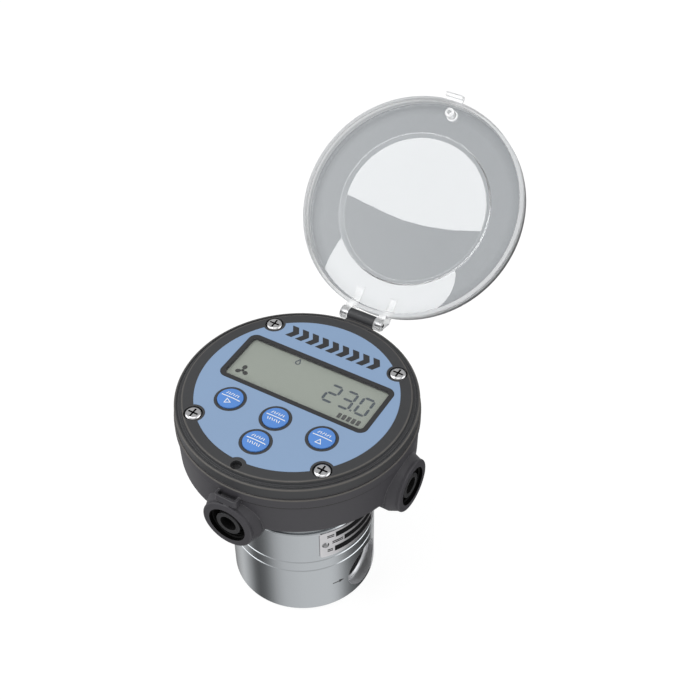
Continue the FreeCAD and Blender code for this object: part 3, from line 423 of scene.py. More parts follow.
def makeAxisDistance():
    # Distance from an axis given by a point and a unit vector, and along it from the point, all in the
    # object's own coordinates
    tree, entry, leave = newGroup(
        "axisDistance",
        {"Point": ("NodeSocketVector", (0, 0, 0)), "Way": ("NodeSocketVector", (0, 0, 1))},
        {"Distance": "NodeSocketFloat", "Along": "NodeSocketFloat"},
    )
    place = addNode(tree, "ShaderNodeTexCoord")
    arm = addNode(tree, "ShaderNodeVectorMath", operation="SUBTRACT")
    joinSockets(tree, place, "Object", arm, 0)
    joinSockets(tree, entry, "Point", arm, 1)
    across = addNode(tree, "ShaderNodeVectorMath", operation="CROSS_PRODUCT")
    joinSockets(tree, arm, 0, across, 0)
    joinSockets(tree, entry, "Way", across, 1)
    size = addNode(tree, "ShaderNodeVectorMath", operation="LENGTH")
    joinSockets(tree, across, 0, size, 0)
    joinSockets(tree, size, "Value", leave, "Distance")
    along = addNode(tree, "ShaderNodeVectorMath", operation="DOT_PRODUCT")
    joinSockets(tree, arm, 0, along, 0)
    joinSockets(tree, entry, "Way", along, 1)
    joinSockets(tree, along, "Value", leave, "Along")
    return tree


def makeRingDistance():
    # Distance from a level circle round the object's own upright axis
    number = "NodeSocketFloat"
    tree, entry, leave = newGroup("ringDistance", {"Radius": (number, 0.05), "Height": (number, 0.1)},
                                  {"Distance": number})
    place = addNode(tree, "ShaderNodeTexCoord")
    parts = addNode(tree, "ShaderNodeSeparateXYZ")
    joinSockets(tree, place, "Object", parts, "Vector")
    flat = addNode(tree, "ShaderNodeCombineXYZ")
    joinSockets(tree, parts, "X", flat, "X")
    joinSockets(tree, parts, "Y", flat, "Y")
    size = addNode(tree, "ShaderNodeVectorMath", operation="LENGTH")
    joinSockets(tree, flat, "Vector", size, 0)
    squares = []
    for value, name in ((size.outputs["Value"], "Radius"), (parts.outputs["Z"], "Height")):
        offset = mathNode(tree, "SUBTRACT", value, entry.outputs[name])
        squares.append(mathNode(tree, "MULTIPLY", offset, offset))
    tree.links.new(mathNode(tree, "SQRT", mathNode(tree, "ADD", *squares)), leave.inputs["Distance"])
    return tree


axisDistance = makeAxisDistance()
ringDistance = makeRingDistance()


# Colours and finishes of the pieces in sight
finishes = {
    "steel": {"colour": (0.575, 0.605, 0.63), "roughness": 0.16},
    # edge: a lighter colour for sharp edges, a painted highlight
    "darkPlastic": {"colour": (0.050, 0.048, 0.055), "edge": (0.14, 0.14, 0.145), "roughness": 0.5},
    "bezelPlastic": {"colour": (0.040, 0.041, 0.044), "edge": (0.11, 0.11, 0.115), "roughness": 0.48},
    "plugPlastic": {"colour": (0.029, 0.029, 0.031), "roughness": 0.45},
    "overlay": {"colour": (0.247, 0.362, 0.546), "roughness": 0.5},
    "keyBlue": {"colour": (0.092, 0.258, 0.67), "roughness": 0.38},
    "lidSmoke": {
        # rim and stepTint are lighter tints as painted reflection; shadeTint is painted shade
        "tint": (0.362, 0.380, 0.394), "shadeTint": (0.29, 0.305, 0.318), "stepTint": (0.44, 0.46, 0.475),
        "rim": (0.955, 0.963, 0.968), "shadow": (0.8, 0.8, 0.8),
        "roughness": 0.01, "rimRoughness": 0.34, "stepRoughness": 0.16, "ior": 1.5,
    },
    "panelGrey": {"colour": (0.304, 0.327, 0.292), "roughness": 0.35},
    "ink": (0.028, 0.028, 0.030),
    "plateInk": (0.008, 0.008, 0.009),
    # Painted shade on the threads deep in the conduit entries
    "entryPaintedShade": (0.006, 0.006, 0.006),
    "segment": (0.030, 0.044, 0.068),
    "keyWhite": (0.85, 0.87, 0.9),
    "window": (0.97, 0.98, 0.97),
}


def bandMask(tree, value, low, high, soft):
    # 1 between low and high, falling to 0 over a soft edge at each side
    inside = falling(tree, value, high, high + soft)
    return mathNode(tree, "MULTIPLY", rising(tree, value, low - soft, low), inside)


def makeLidZones():
    # Where the lid is frosted and its tint lighter, a painted reflection: Rim for its wall, ears, tab and
    # pin, Step for the slope round its disc. Shade is painted shade, where its panel darkens towards the
    # wall.
    size = {name: value * mm for name, value in lidPlan.items()}
    number = "NodeSocketFloat"
    vector = "NodeSocketVector"
    tree, entry, leave = newGroup(
        "lidZones",
        {"Middle": (vector, (0, 0, 0)), "Pin": (vector, (0, 0, 0)), "Hinge": (vector, (0, 0, 0)),
         "Inward": (vector, (0, 0, 1)), "Across": (vector, (1, 0, 0))},
        {"Rim": number, "Step": number, "Shade": number},
    )
    found = {}
    depth = {}
    for name, way in (("middle", "Inward"), ("pin", "Inward"), ("hinge", "Across")):
        group = placeGroup(tree, axisDistance)
        joinSockets(tree, entry, name.capitalize(), group, "Point")
        joinSockets(tree, entry, way, group, "Way")
        found[name] = group.outputs["Distance"]
        depth[name] = group.outputs["Along"]
    place = addNode(tree, "ShaderNodeTexCoord")
    parts = addNode(tree, "ShaderNodeSeparateXYZ")
    joinSockets(tree, place, "Object", parts, "Vector")
    side = mathNode(tree, "ABSOLUTE", parts.outputs["X"])
    inner = rising(tree, found["middle"], size["wallFrom"], size["wallTo"])
    near = falling(tree, depth["middle"], size["deepFrom"], size["deepTo"])
    inner = mathNode(tree, "MULTIPLY", inner, near)
    wall = mathNode(tree, "MAXIMUM", inner, rising(tree, found["middle"], size["outerFrom"], size["outerTo"]))
    pin = falling(tree, found["pin"], size["pinRadius"], size["pinRadius"] + size["pinSoft"])
    arms = bandMask(tree, side, size["armFrom"], size["armTo"], size["armSoft"])
    arms = mathNode(tree, "MULTIPLY", arms, falling(tree, found["hinge"], size["armReach"], size["armEnd"]))
    arms = mathNode(tree, "MULTIPLY", arms, lidPlan["armShare"])
    rim = mathNode(tree, "MAXIMUM", mathNode(tree, "MAXIMUM", wall, pin), arms)
    tree.links.new(rim, leave.inputs["Rim"])
    step = bandMask(tree, found["middle"], size["stepFrom"], size["stepTo"], size["stepSoft"])
    tree.links.new(step, leave.inputs["Step"])
    shade = rising(tree, found["middle"], size["shadeFrom"], size["shadeTo"])
    tree.links.new(shade, leave.inputs["Shade"])
    return tree


def makeLidMaterial(plan):
    # Smoky over the flat panel, frosted and nearly clear at the rim, ears, tab and pin, where the lighter
    # tint is a painted reflection, and darker towards the wall as painted shade
    material, tree, surface = clearMaterial(
        "lidClear", plan["tint"], plan["roughness"], plan["ior"], plan["shadow"])
    back = nodes["lid"].matrix_world.inverted()
    turn = back.to_3x3()
    middle, inward = lidPoint(0, 0, 0)
    pin = lidPoint(0, lidPlan["pinAlong"], 0)[0]
    hinge = lidPoint(0, -lidPlan["middleReach"], 0)[0]
    zones = placeGroup(tree, makeLidZones(), Middle=back @ middle, Pin=back @ pin, Hinge=back @ hinge,
                       Inward=(turn @ inward).normalized(), Across=(turn @ Vector((1, 0, 0))).normalized())
    rim = zones.outputs["Rim"]
    step = zones.outputs["Step"]
    colour = mixedColour(tree, zones.outputs["Shade"], plan["tint"], plan["shadeTint"])
    colour = mixedColour(tree, step, colour, plan["stepTint"])
    tree.links.new(mixedColour(tree, rim, colour, plan["rim"]), surface.inputs["Base Color"])
    rough = mathNode(tree, "MAXIMUM", mathNode(tree, "MULTIPLY", rim, plan["rimRoughness"]),
                     mathNode(tree, "MULTIPLY", step, plan["stepRoughness"]))
    tree.links.new(mathNode(tree, "ADD", rough, plan["roughness"]), surface.inputs["Roughness"])
    return material


def paintShadeRound(material, axes, colour, outside=False):
    # Painted shade: black inside round holes, or outside round hubs. Each axis is a point, a way, a radius
    # and how far along it starts, in mm. A full metallic share takes away the sheen, so that what lies deep
    # is as dark as its colour.
    tree = material.node_tree
    surface = tree.nodes["Principled BSDF"]
    mask = None
    for point, way, radius, start in axes:
        group = placeGroup(tree, axisDistance, Point=Vector(point) * mm, Way=Vector(way))
        inside = mathNode(tree, "LESS_THAN", group.outputs["Distance"], radius * mm)
        beyond = mathNode(tree, "GREATER_THAN", group.outputs["Along"], start * mm)
        inside = mathNode(tree, "MULTIPLY", inside, beyond)
        mask = inside if mask is None else mathNode(tree, "MAXIMUM", mask, inside)
    if outside:
        mask = mathNode(tree, "SUBTRACT", 1.0, mask)
    repaint(tree, surface, mask, colour, 0.9, 1.0)


def paintHighlightShadeRings(material, rings):
    # Thin level rings round the head in another tone, painted highlight or painted shade: each is a radius, a
    # height and a reach in mm, and a colour
    tree = material.node_tree
    surface = tree.nodes["Principled BSDF"]
    for radius, height, reach, colour in rings:
        group = placeGroup(tree, ringDistance, Radius=radius * mm, Height=height * mm)
        near = falling(tree, group.outputs["Distance"], 0.6 * reach * mm, reach * mm)
        recolour(tree, surface, near, colour)


def makeScrewMaterial(plan):
    # Polished heads whose cross recess, one on each diagonal of the face, is darkened with painted shade
    material = scuffedMaterial("brightScrews", plan["colour"], plan["roughness"], size=0.003)
    tree = material.node_tree
    surface = tree.nodes["Principled BSDF"]
    place = addNode(tree, "ShaderNodeTexCoord")
    parts = addNode(tree, "ShaderNodeSeparateXYZ")
    joinSockets(tree, place, "Object", parts, "Vector")
    offsets = []
    for axis in ("X", "Y"):
        side = mathNode(tree, "ABSOLUTE", parts.outputs[axis])
        offset = mathNode(tree, "SUBTRACT", side, plan["circle"] * mm / math.sqrt(2))
        offsets.append(mathNode(tree, "ABSOLUTE", offset))
    near = mathNode(tree, "MINIMUM", *offsets)
    far = mathNode(tree, "MAXIMUM", *offsets)
    mask = mathNode(tree, "MULTIPLY", mathNode(tree, "LESS_THAN", near, plan["halfWidth"] * mm),
                    mathNode(tree, "LESS_THAN", far, plan["reach"] * mm))
    recolour(tree, surface, mask, plan["shade"])
    return material


# Holes: where the pipe ports and the conduit entries lie, and what their insides look like
portPlan = {
    "height": 14.8,
    # Painted highlight on the wall and the step of each port, then painted shade in the bore past them
    "zones": [(12.45, (0.80, 0.80, 0.81), 0.42, 1.0), (12.3, (0.62, 0.63, 0.65), 0.4, 1.0),
              (10.44, (0.006, 0.006, 0.006), 0.8, 1.0)],
    # Painted shade: the port threads darkened far below the steel's own colour
    "thread": (0.035, 0.035, 0.036),
}
# Rounded edges of the head, lighter as a painted highlight, and the corner under its flange, darker as
# painted shade
paintedRingPlan = {
    "bezel_plastic": [(52.4, 118.15, 0.55, (0.098, 0.093, 0.087)),
                      (55.95, 116.4, 0.55, (0.105, 0.099, 0.092))],
    "dark_plastic": [(56.6, 110.3, 0.5, (0.115, 0.108, 0.1)), (56.35, 105.0, 0.8, (0.014, 0.014, 0.014))],
}
screwPlan = {
    "circle": 48.0, "halfWidth": 0.46, "reach": 2.56, "colour": (0.64, 0.64, 0.65), "roughness": 0.14,
    "shade": (0.06, 0.06, 0.063),
}
entryPlan = {"height": 88.8, "boreRadius": 9.5, "hubRadius": 6.35, "coreRadius": 4.15, "from": 40.0}
entryWays = ((1, 0, 0), (0, -1, 0))


def makeMaterials():
    steel = finishes["steel"]
    dark = finishes["darkPlastic"]
    bezel = finishes["bezelPlastic"]
    plug = finishes["plugPlastic"]
    overlay = finishes["overlay"]
    key = finishes["keyBlue"]
    panel = finishes["panelGrey"]
    made = {
        "steel": turnedMaterial("turnedSteel", steel["colour"], steel["roughness"], bore=(
            (0, 0, portPlan["height"]), (1, 0, 0), portPlan["zones"])),
        "plate_steel": scuffedMaterial("plateSteel", (0.80, 0.79, 0.81), 0.32),
        "screw_steel": scuffedMaterial("screwSteel", (0.55, 0.55, 0.54), 0.3),
        "bright_screws": makeScrewMaterial(screwPlan),
        "gear_steel": turnedMaterial("gearSteel", (0.60, 0.61, 0.62), 0.24, bump=0.05),
        "carbon": mouldedMaterial("carbon", (0.03, 0.03, 0.03), 0.5),
        "magnet": scuffedMaterial("magnetPlating", (0.50, 0.50, 0.52), 0.2),
        "seal_rubber": mouldedMaterial("sealRubber", (0.02, 0.02, 0.02), 0.65),
        "dark_plastic": mouldedMaterial("bowlPlastic", dark["colour"], dark["roughness"],
                                        edge=0.0006, edgeHighlightColour=dark["edge"]),
        "bezel_plastic": mouldedMaterial("bezelPlastic", bezel["colour"], bezel["roughness"],
                                         edge=0.0004, edgeHighlightColour=bezel["edge"]),
        "plug_plastic": mouldedMaterial("plugPlastic", plug["colour"], plug["roughness"]),
        "overlay": mouldedMaterial("overlayFilm", overlay["colour"], overlay["roughness"],
                                   grain=0.00015, bump=0.1, contrast=0.01),
        "window": clearMaterial("windowClear", finishes["window"], 0.0, 1.45, finishes["window"])[0],
        "lcd_glass": mouldedMaterial("displayGrey", panel["colour"], panel["roughness"],
                                     grain=0.0002, bump=0.05, contrast=0.015),
        "board_plastic": mouldedMaterial("mouldedBlack", (0.035, 0.035, 0.035), 0.5),
        "board": mouldedMaterial("solderMask", (0.02, 0.13, 0.05), 0.3,
                                 grain=0.0006, bump=0.1, contrast=0.12),
        "battery": mouldedMaterial("cellSleeve", (0.07, 0.2, 0.45), 0.35),
        "lid_clear": makeLidMaterial(finishes["lidSmoke"]),
        "key_blue": mouldedMaterial("keySilicone", key["colour"], key["roughness"],
                                    grain=0.0002, bump=0.12, contrast=0.03),
        "ink": inkMaterial("darkInk", finishes["ink"], 0.45),
        "segment": inkMaterial("displaySegment", finishes["segment"], 0.4, bump=0.02),
        "portThreadShade": scuffedMaterial("portThreadShade", portPlan["thread"], 0.4),
        "entryPaintedShade": inkMaterial("entryPaintedShade", finishes["entryPaintedShade"], 0.6),
        "plateInk": inkMaterial("plateInk", finishes["plateInk"], 0.6),
    }
    for name in ("plateInk", "entryPaintedShade"):
        made[name].node_tree.nodes["Principled BSDF"].inputs["Specular IOR Level"].default_value = 0.1
    # Painted shade: dark deep in the conduit entries, round each plug's hub and in the hub's hole
    for name, radius, level, outside in (
        ("dark_plastic", "boreRadius", 0.008, False), ("plug_plastic", "hubRadius", 0.008, True),
        ("plug_plastic", "coreRadius", 0.03, False),
    ):
        middle = (0, 0, entryPlan["height"])
        axes = [(middle, way, entryPlan[radius], entryPlan["from"]) for way in entryWays]
        paintShadeRound(made[name], axes, (level,) * 3, outside)
    for name, rings in paintedRingPlan.items():
        paintHighlightShadeRings(made[name], rings)
    # A darker copy of the steel for the ring under the bowl: painted shade
    made["neckSteelShade"] = turnedMaterial("neckSteelShade", scaled(steel["colour"], 0.66), 0.3)
    made["rivet"] = scuffedMaterial("rivetSteel", (0.34, 0.34, 0.35), 0.18)
    made["keyWhite"] = inkMaterial("keyPrint", finishes["keyWhite"], 0.45)
    return made


materials = makeMaterials()
ownMaterials = {"nameplate_rivets": "rivet", "neck_adapter": "neckSteelShade"}
for nodeName, item in nodes.items():
    item.data.materials.clear()
    item.data.materials.append(materials[ownMaterials.get(nodeName, nodeSlots[nodeName])])
print("materials on CAD nodes:", len(nodes))


# Mesh helpers
def linkPiece(name, mesh, material, body="meter"):
    item = bpy.data.objects.new(name, mesh)
    bpy.context.scene.collection.objects.link(item)
    mesh.materials.append(material)
    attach(item, body)
    return item


def printedShapes(name, shapes, height, material, body="meter", bend=None, thickness=film):
    # Thin raised shapes: each shape is an outline of (x, y) in mm, or a pair of outlines for a ring
    mesh = bpy.data.meshes.new(name)
    build = bmesh.new()
    for shape in shapes:
        rings = shape if isinstance(shape, tuple) else (shape,)
        edges = []
        for ring in rings:
            corners = [build.verts.new((x * mm, y * mm, height)) for x, y in ring]
            for index, corner in enumerate(corners):
                edges.append(build.edges.new((corners[index - 1], corner)))
        made = bmesh.ops.triangle_fill(build, edges=edges, use_beauty=True)
        faces = [part for part in made["geom"] if isinstance(part, bmesh.types.BMFace)]
        for face in faces:
            if face.normal.z < 0:
                face.normal_flip()
        lifted = bmesh.ops.extrude_face_region(build, geom=faces)
        tops = [part for part in lifted["geom"] if isinstance(part, bmesh.types.BMVert)]
        bmesh.ops.translate(build, verts=tops, vec=(0, 0, thickness))
    bmesh.ops.recalc_face_normals(build, faces=build.faces)
    if bend:
        for vert in build.verts:
            vert.co = bend(vert.co)
    build.to_mesh(mesh)
    build.free()
    return linkPiece(name, mesh, material, body)


def arcPoints(centreX, centreY, radius, start, end, steps):
    points = []
    for index in range(steps + 1):
        angle = math.radians(start + (end - start) * index / steps)
        points.append((centreX + radius * math.cos(angle), centreY + radius * math.sin(angle)))
    return points


def roundedRectangle(left, low, right, high, radius, steps=8):
    points = []
    points += arcPoints(right - radius, low + radius, radius, -90, 0, steps)
    points += arcPoints(right - radius, high - radius, radius, 0, 90, steps)
    points += arcPoints(left + radius, high - radius, radius, 90, 180, steps)
    points += arcPoints(left + radius, low + radius, radius, 180, 270, steps)
    return points


def circlePoints(centreX, centreY, radius, steps=48):
    return arcPoints(centreX, centreY, radius, 0, 360 - 360 / steps, steps - 1)


def bar(startX, startY, endX, endY, width):
    # A straight bar with square ends
    way = Vector((endX - startX, endY - startY)).normalized()
    side = Vector((-way.y, way.x)) * width / 2
    start = Vector((startX, startY))
    end = Vector((endX, endY))
    return [tuple(point) for point in (start - side, end - side, end + side, start + side)]


def splitBar(left, right, low, high, step=1.0):
    # A long bar as many short ones side by side, so that it follows the curve
    count = max(1, round((right - left) / step))
    width = (right - left) / count
    pieces = []
    for index in range(count):
        start = left + width * index
        pieces.append([(start, low), (start + width, low), (start + width, high), (start, high)])
    return pieces


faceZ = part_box("face_overlay")[1].z
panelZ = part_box("lcd_panel")[1].z


# Window border and what the display shows
displayPlan = {
    "borderOuter": (-39.2, -7.4, 39.2, 23.6, 4.0),
    "borderInner": (-36.9, -5.1, 36.9, 21.3, 2.0),
    "digitLow": 3.3, "digitHeight": 10.4, "digitWidth": 5.3, "stroke": 1.3, "gap": 0.24,
    "digits": {11.0: "abged", 19.3: "abgcd", 27.9: "abcdef"},
    "pointAt": (26.0, 3.5), "pointSize": 1.0,
    "rotorAt": (-30.3, 0.7), "rotorReach": 3.5,
    "dropAt": (-10.7, 18.4), "dropSize": 4.3,
    "barsFrom": 22.4, "barsTo": 34.6, "barsLow": -3.2, "barsHigh": 0.0, "barsCount": 5, "barsFilled": 0.72,
}
bladeShares = {
    "turns": (95, 215, 335), "steps": 20,
    "hub": 0.24, "middle": 0.62, "length": 0.4, "width": 0.34,  # shares of the reach
}


def segmentOutline(letter, left, plan):
    # One tapered segment of a seven-segment figure
    low = plan["digitLow"]
    high = low + plan["digitHeight"]
    right = left + plan["digitWidth"]
    middle = (low + high) / 2
    half = plan["stroke"] / 2
    gap = plan["gap"]
    runs = {
        "a": ((left, high), (right, high)), "g": ((left, middle), (right, middle)),
        "d": ((left, low), (right, low)), "b": ((right, middle), (right, high)),
        "c": ((right, low), (right, middle)), "e": ((left, low), (left, middle)),
        "f": ((left, middle), (left, high)),
    }
    start, end = (Vector(point) for point in runs[letter])
    way = (end - start).normalized()
    side = Vector((-way.y, way.x)) * half
    start = start + way * gap
    end = end - way * gap
    points = [start, start + way * half - side, end - way * half - side, end]
    points += [end - way * half + side, start + way * half + side]
    return [tuple(point) for point in points]


def rotorBlades(centre, reach, shares):
    # Generic three-bladed rotor sign
    shapes = [circlePoints(*centre, reach * shares["hub"], 16)]
    for turn in shares["turns"]:
        way = Vector((math.cos(math.radians(turn)), math.sin(math.radians(turn)))) * reach
        side = Vector((-way.y, way.x))
        middle = Vector(centre) + way * shares["middle"]
        petal = []
        for index in range(shares["steps"]):
            angle = 2 * math.pi * index / shares["steps"]
            along = way * math.cos(angle) * shares["length"]
            petal.append(tuple(middle + along + side * math.sin(angle) * shares["width"]))
        shapes.append(petal)
    return shapes


def dropOutline(centre, size, radius, tip):
    # A round bottom and a pointed top, as shares of the size
    x, y = centre
    return arcPoints(x, y - size * 0.15, size * radius, 150, 390, 18) + [(x, y + size * tip)]


def makeDisplay(plan):
    border = (roundedRectangle(*plan["borderOuter"]), roundedRectangle(*plan["borderInner"]))
    printedShapes("windowBorder", [border], faceZ + film, materials["ink"])
    figures = []
    for left, letters in plan["digits"].items():
        figures += [segmentOutline(letter, left, plan) for letter in letters]
    x, y = plan["pointAt"]
    half = plan["pointSize"] / 2
    figures.append([(x - half, y - half), (x + half, y - half), (x + half, y + half), (x - half, y + half)])
    drop = (dropOutline(plan["dropAt"], plan["dropSize"], 0.32, 0.55),
            dropOutline(plan["dropAt"], plan["dropSize"], 0.17, 0.24))
    step = (plan["barsTo"] - plan["barsFrom"]) / plan["barsCount"]
    blocks = []
    for index in range(plan["barsCount"]):
        left = plan["barsFrom"] + step * index
        right = left + step * plan["barsFilled"]
        blocks.append(roundedRectangle(left, plan["barsLow"], right, plan["barsHigh"], 0.3, 3))
    for name, shapes, ink in (
        ("displayDigits", figures, "segment"),
        ("displayRotorSign", rotorBlades(plan["rotorAt"], plan["rotorReach"], bladeShares), "plateInk"),
        ("displayDropSign", [drop], "segment"),
        ("displayBars", blocks, "ink"),
    ):
        printedShapes(name, shapes, panelZ + film, materials[ink])


makeDisplay(displayPlan)
print("display made")


# Generic flow chevrons in the printed band above the window
bandPlan = {"left": -25.5, "right": 24.5, "low": 30.0, "high": 37.4, "count": 9, "lean": 2.2, "barWidth": 3.4}


def makeBand(plan):
    shapes = []
    step = (plan["right"] - plan["left"] - plan["barWidth"] - plan["lean"]) / (plan["count"] - 1)
    middle = (plan["low"] + plan["high"]) / 2
    for index in range(plan["count"]):
        left = plan["left"] + step * index
        shapes.append([
            (left, plan["low"]), (left + plan["barWidth"], plan["low"]),
            (left + plan["barWidth"] + plan["lean"], middle), (left + plan["barWidth"], plan["high"]),
            (left, plan["high"]), (left + plan["lean"], middle),
        ])
    printedShapes("bandChevrons", shapes, faceZ + film, materials["ink"])


makeBand(bandPlan)
print("band printed")


# White print on the keys: a line across each, and plain signs
keyPlan = {
    "centres": {"left": (-24.3, -18.3), "right": (24.3, -18.3), "upper": (0.0, -18.3), "lower": (0.0, -34.4)},
    "radius": 6.0, "lineHalf": 4.9, "lineWidth": 0.45, "lineUp": 0.35, "linePiece": 0.7, "stroke": 0.38,
    "ticks": 6, "tickHalf": 2.9, "tickLow": 1.3, "tickHigh": 2.7, "tickLean": 0.35, "crown": 0.35,
    "triangles": {"left": [(-1.1, -3.9), (1.9, -2.3), (-1.1, -0.7)],
                  "right": [(-1.7, -3.8), (1.7, -3.8), (0.0, -0.9)]},
    "thickness": 0.03,
}


def outlineRing(points, width):
    # A ring made of an outline and the same outline drawn in towards its middle
    middle = sum((Vector(point) for point in points), Vector((0, 0))) / len(points)
    inner = []
    for point in points:
        way = Vector(point) - middle
        inner.append(tuple(middle + way * (1 - width * 1.9 / way.length)))  # 1.9 widths in at a sharp corner
    return (points, inner)


def makeKeyPrints(plan):
    for name, (x, y) in plan["centres"].items():
        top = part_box("key_" + name)[1].z
        lineY = y + plan["lineUp"]
        half = plan["lineWidth"] / 2
        shapes = splitBar(x - plan["lineHalf"], x + plan["lineHalf"], lineY - half, lineY + half,
                          plan["linePiece"])
        for row in ([1] if name in plan["triangles"] else [1, -1]):
            for index in range(plan["ticks"]):
                tickX = x - plan["tickHalf"] + 2 * plan["tickHalf"] * index / (plan["ticks"] - 1)
                low = lineY + row * plan["tickLow"]
                high = lineY + row * plan["tickHigh"]
                lean = plan["tickLean"] if (index + row) % 2 else 0.0
                shapes.append(bar(tickX - lean, low, tickX + lean, high, plan["stroke"]))
        if name in plan["triangles"]:
            corners = [(x + across, y + up) for across, up in plan["triangles"][name]]
            shapes.append(outlineRing(corners, plan["stroke"]))
        sphere = (plan["radius"] ** 2 + plan["crown"] ** 2) / (2 * plan["crown"]) * mm
        centre = Vector((x * mm, y * mm, top - sphere))

        def onCrown(point, centre=centre, sphere=sphere, top=top):
            flat = Vector((point.x - centre.x, point.y - centre.y, 0))
            rise = math.sqrt(sphere ** 2 - flat.length_squared)
            return Vector((point.x, point.y, centre.z + rise + point.z - top))

        printedShapes("keyPrint_" + name, shapes, top + film, materials["keyWhite"], "key_" + name,
                      bend=onCrown, thickness=plan["thickness"] * mm)


makeKeyPrints(keyPlan)
print("keys printed")


# Nameplate print and the flow arrow, wrapped round the meter
platePlan = {
    "radius": 36.3, "middle": -15.0,
    "bars": [(-10.5, 15.5, 53.7, 57.3), (-5.8, 14.0, 48.7, 52.0), (-11.2, 15.5, 43.3, 47.0)],
    "fields": [(-15.0, -11.4, 54.3, 56.6), (-12.4, -6.6, 49.2, 51.5), (-15.0, -12.2, 44.0, 46.3)],
    "fieldRows": (0.25, 0.75), "fieldHalf": 0.32,
}
arrowPlan = {
    "radius": 35.8, "middle": -29.5, "height": 16.7, "reach": 3.2, "shaftHalf": 0.3, "headHalf": 1.1,
    "lift": 0.005,
}


def wrapRound(radius, middle):
    # Takes (arc length, height) in a flat drawing to the side of a cylinder
    def bend(point):
        angle = math.radians(middle) + point.x / (radius * mm)
        far = radius * mm + point.z
        return Vector((far * math.cos(angle), far * math.sin(angle), point.y))
    return bend


def makePlatePrint(plan):
    bend = wrapRound(plan["radius"], plan["middle"])
    bars = []
    for left, right, low, high in plan["bars"]:
        bars += splitBar(left, right, low, high)
    lines = []
    for left, right, low, high in plan["fields"]:
        for row in plan["fieldRows"]:
            y = low + (high - low) * row
            lines += splitBar(left, right, y - plan["fieldHalf"], y + plan["fieldHalf"])
    for name, shapes in (("plateBars", bars), ("plateLines", lines)):
        printedShapes(name, shapes, film, materials["plateInk"], bend=bend)


def makeFlowArrow(plan):
    bend = wrapRound(plan["radius"], plan["middle"])
    y, reach = plan["height"], plan["reach"]
    shapes = splitBar(-reach, reach * 0.2, y - plan["shaftHalf"], y + plan["shaftHalf"])
    shapes.append([(reach * 0.1, y - plan["headHalf"]), (reach, y), (reach * 0.1, y + plan["headHalf"])])
    printedShapes("flowArrow", shapes, plan["lift"] * mm, materials["ink"], bend=bend)


makePlatePrint(platePlan)
makeFlowArrow(arrowPlan)
print("plate and arrow made")


# Threads: a ridge wound inside each port and each conduit entry
threadPlan = {
    "port": {"major": 10.5, "minor": 9.45, "pitch": 1.814, "from": 17.6, "to": 29.4, "steps": 56,
             "height": portPlan["height"]},
    "conduit": {"major": 9.22, "minor": 8.75, "pitch": 1.5, "from": 53.6, "to": 59.9, "steps": 48,
                "height": entryPlan["height"]},
    "rootHalf": 0.47, "crestHalf": 0.09,  # shares of the pitch
}


def makeThread(name, plan, turn, material):
    # A ridge with a narrow crest on a helix about +X, then turned about Z
    mesh = bpy.data.meshes.new(name)
    build = bmesh.new()
    turns = (plan["to"] - plan["from"]) / plan["pitch"] - 1
    count = int(turns * plan["steps"])
    spin = Matrix.Rotation(math.radians(turn), 4, "Z")
    root, crest = threadPlan["rootHalf"], threadPlan["crestHalf"]
    section = [(plan["major"], -root), (plan["minor"], -crest), (plan["minor"], crest), (plan["major"], root)]
    rows = []
    for index in range(count + 1):
        angle = 2 * math.pi * index / plan["steps"]
        along = plan["from"] + plan["pitch"] * (0.5 + index / plan["steps"])
        row = []
        for radius, shift in section:
            point = Vector(((along + shift * plan["pitch"]) * mm, radius * mm * math.cos(angle),
                            plan["height"] * mm + radius * mm * math.sin(angle)))
            row.append(build.verts.new(spin @ point))
        rows.append(row)
    for first, second in zip(rows, rows[1:]):
        for index in range(len(first)):
            following = (index + 1) % len(first)
            build.faces.new((first[index], first[following], second[following], second[index]))
    build.faces.new(rows[0][::-1])
    build.faces.new(rows[-1])
    bmesh.ops.recalc_face_normals(build, faces=build.faces)
    build.to_mesh(mesh)
    build.free()
    return linkPiece(name, mesh, material)


# The port threads, and the conduit threads after them, are dark with painted shade
makeThread("portThreadInlet", threadPlan["port"], 0, materials["portThreadShade"])
makeThread("portThreadOutlet", threadPlan["port"], 180, materials["portThreadShade"])
makeThread("conduitThreadRight", threadPlan["conduit"], 0, materials["entryPaintedShade"])
makeThread("conduitThreadFront", threadPlan["conduit"], -90, materials["entryPaintedShade"])
print("threads wound")


# Studio: white to the camera and through clear pieces, a plain level for light, and a studio's bright and
# dark sides for reflections
lightPlan = {
    "level": 0.86,
    "upperGlow": 0.55, "sidesFade": (-0.2, 0.25),
    "sides": [(-180, 0.70), (-168, 0.56), (-157, 0.36), (-148, 0.17), (-139, 0.11), (-127, 0.17),
              (-117, 0.29), (-106, 0.50), (-92, 0.66), (-60, 0.75), (-15, 0.77), (-4, 0.68), (6, 0.48),
              (16, 0.29), (25, 0.19), (40, 0.12), (52, 0.07), (72, 0.06), (80, 0.12), (92, 0.58),
              (110, 0.50), (128, 0.36), (140, 0.27), (153, 0.34), (170, 0.57), (180, 0.70)],
    "lamps": [((-0.75, -0.47, 0.46), 22.0, 32.0, 1.3), ((0.80, 0.32, 0.51), 20.0, 30.0, 1.3),
              ((0.11, -0.18, 0.98), 14.0, 26.0, 1.2)],
    "softbox": {"place": (-0.9, -0.9, 1.6), "aim": (0, 0, 0.08), "size": 1.2, "power": 9.0},
    "floor": {"reach": 4.0, "tone": 0.8, "glow": 1.15, "glowShare": 0.75},
}


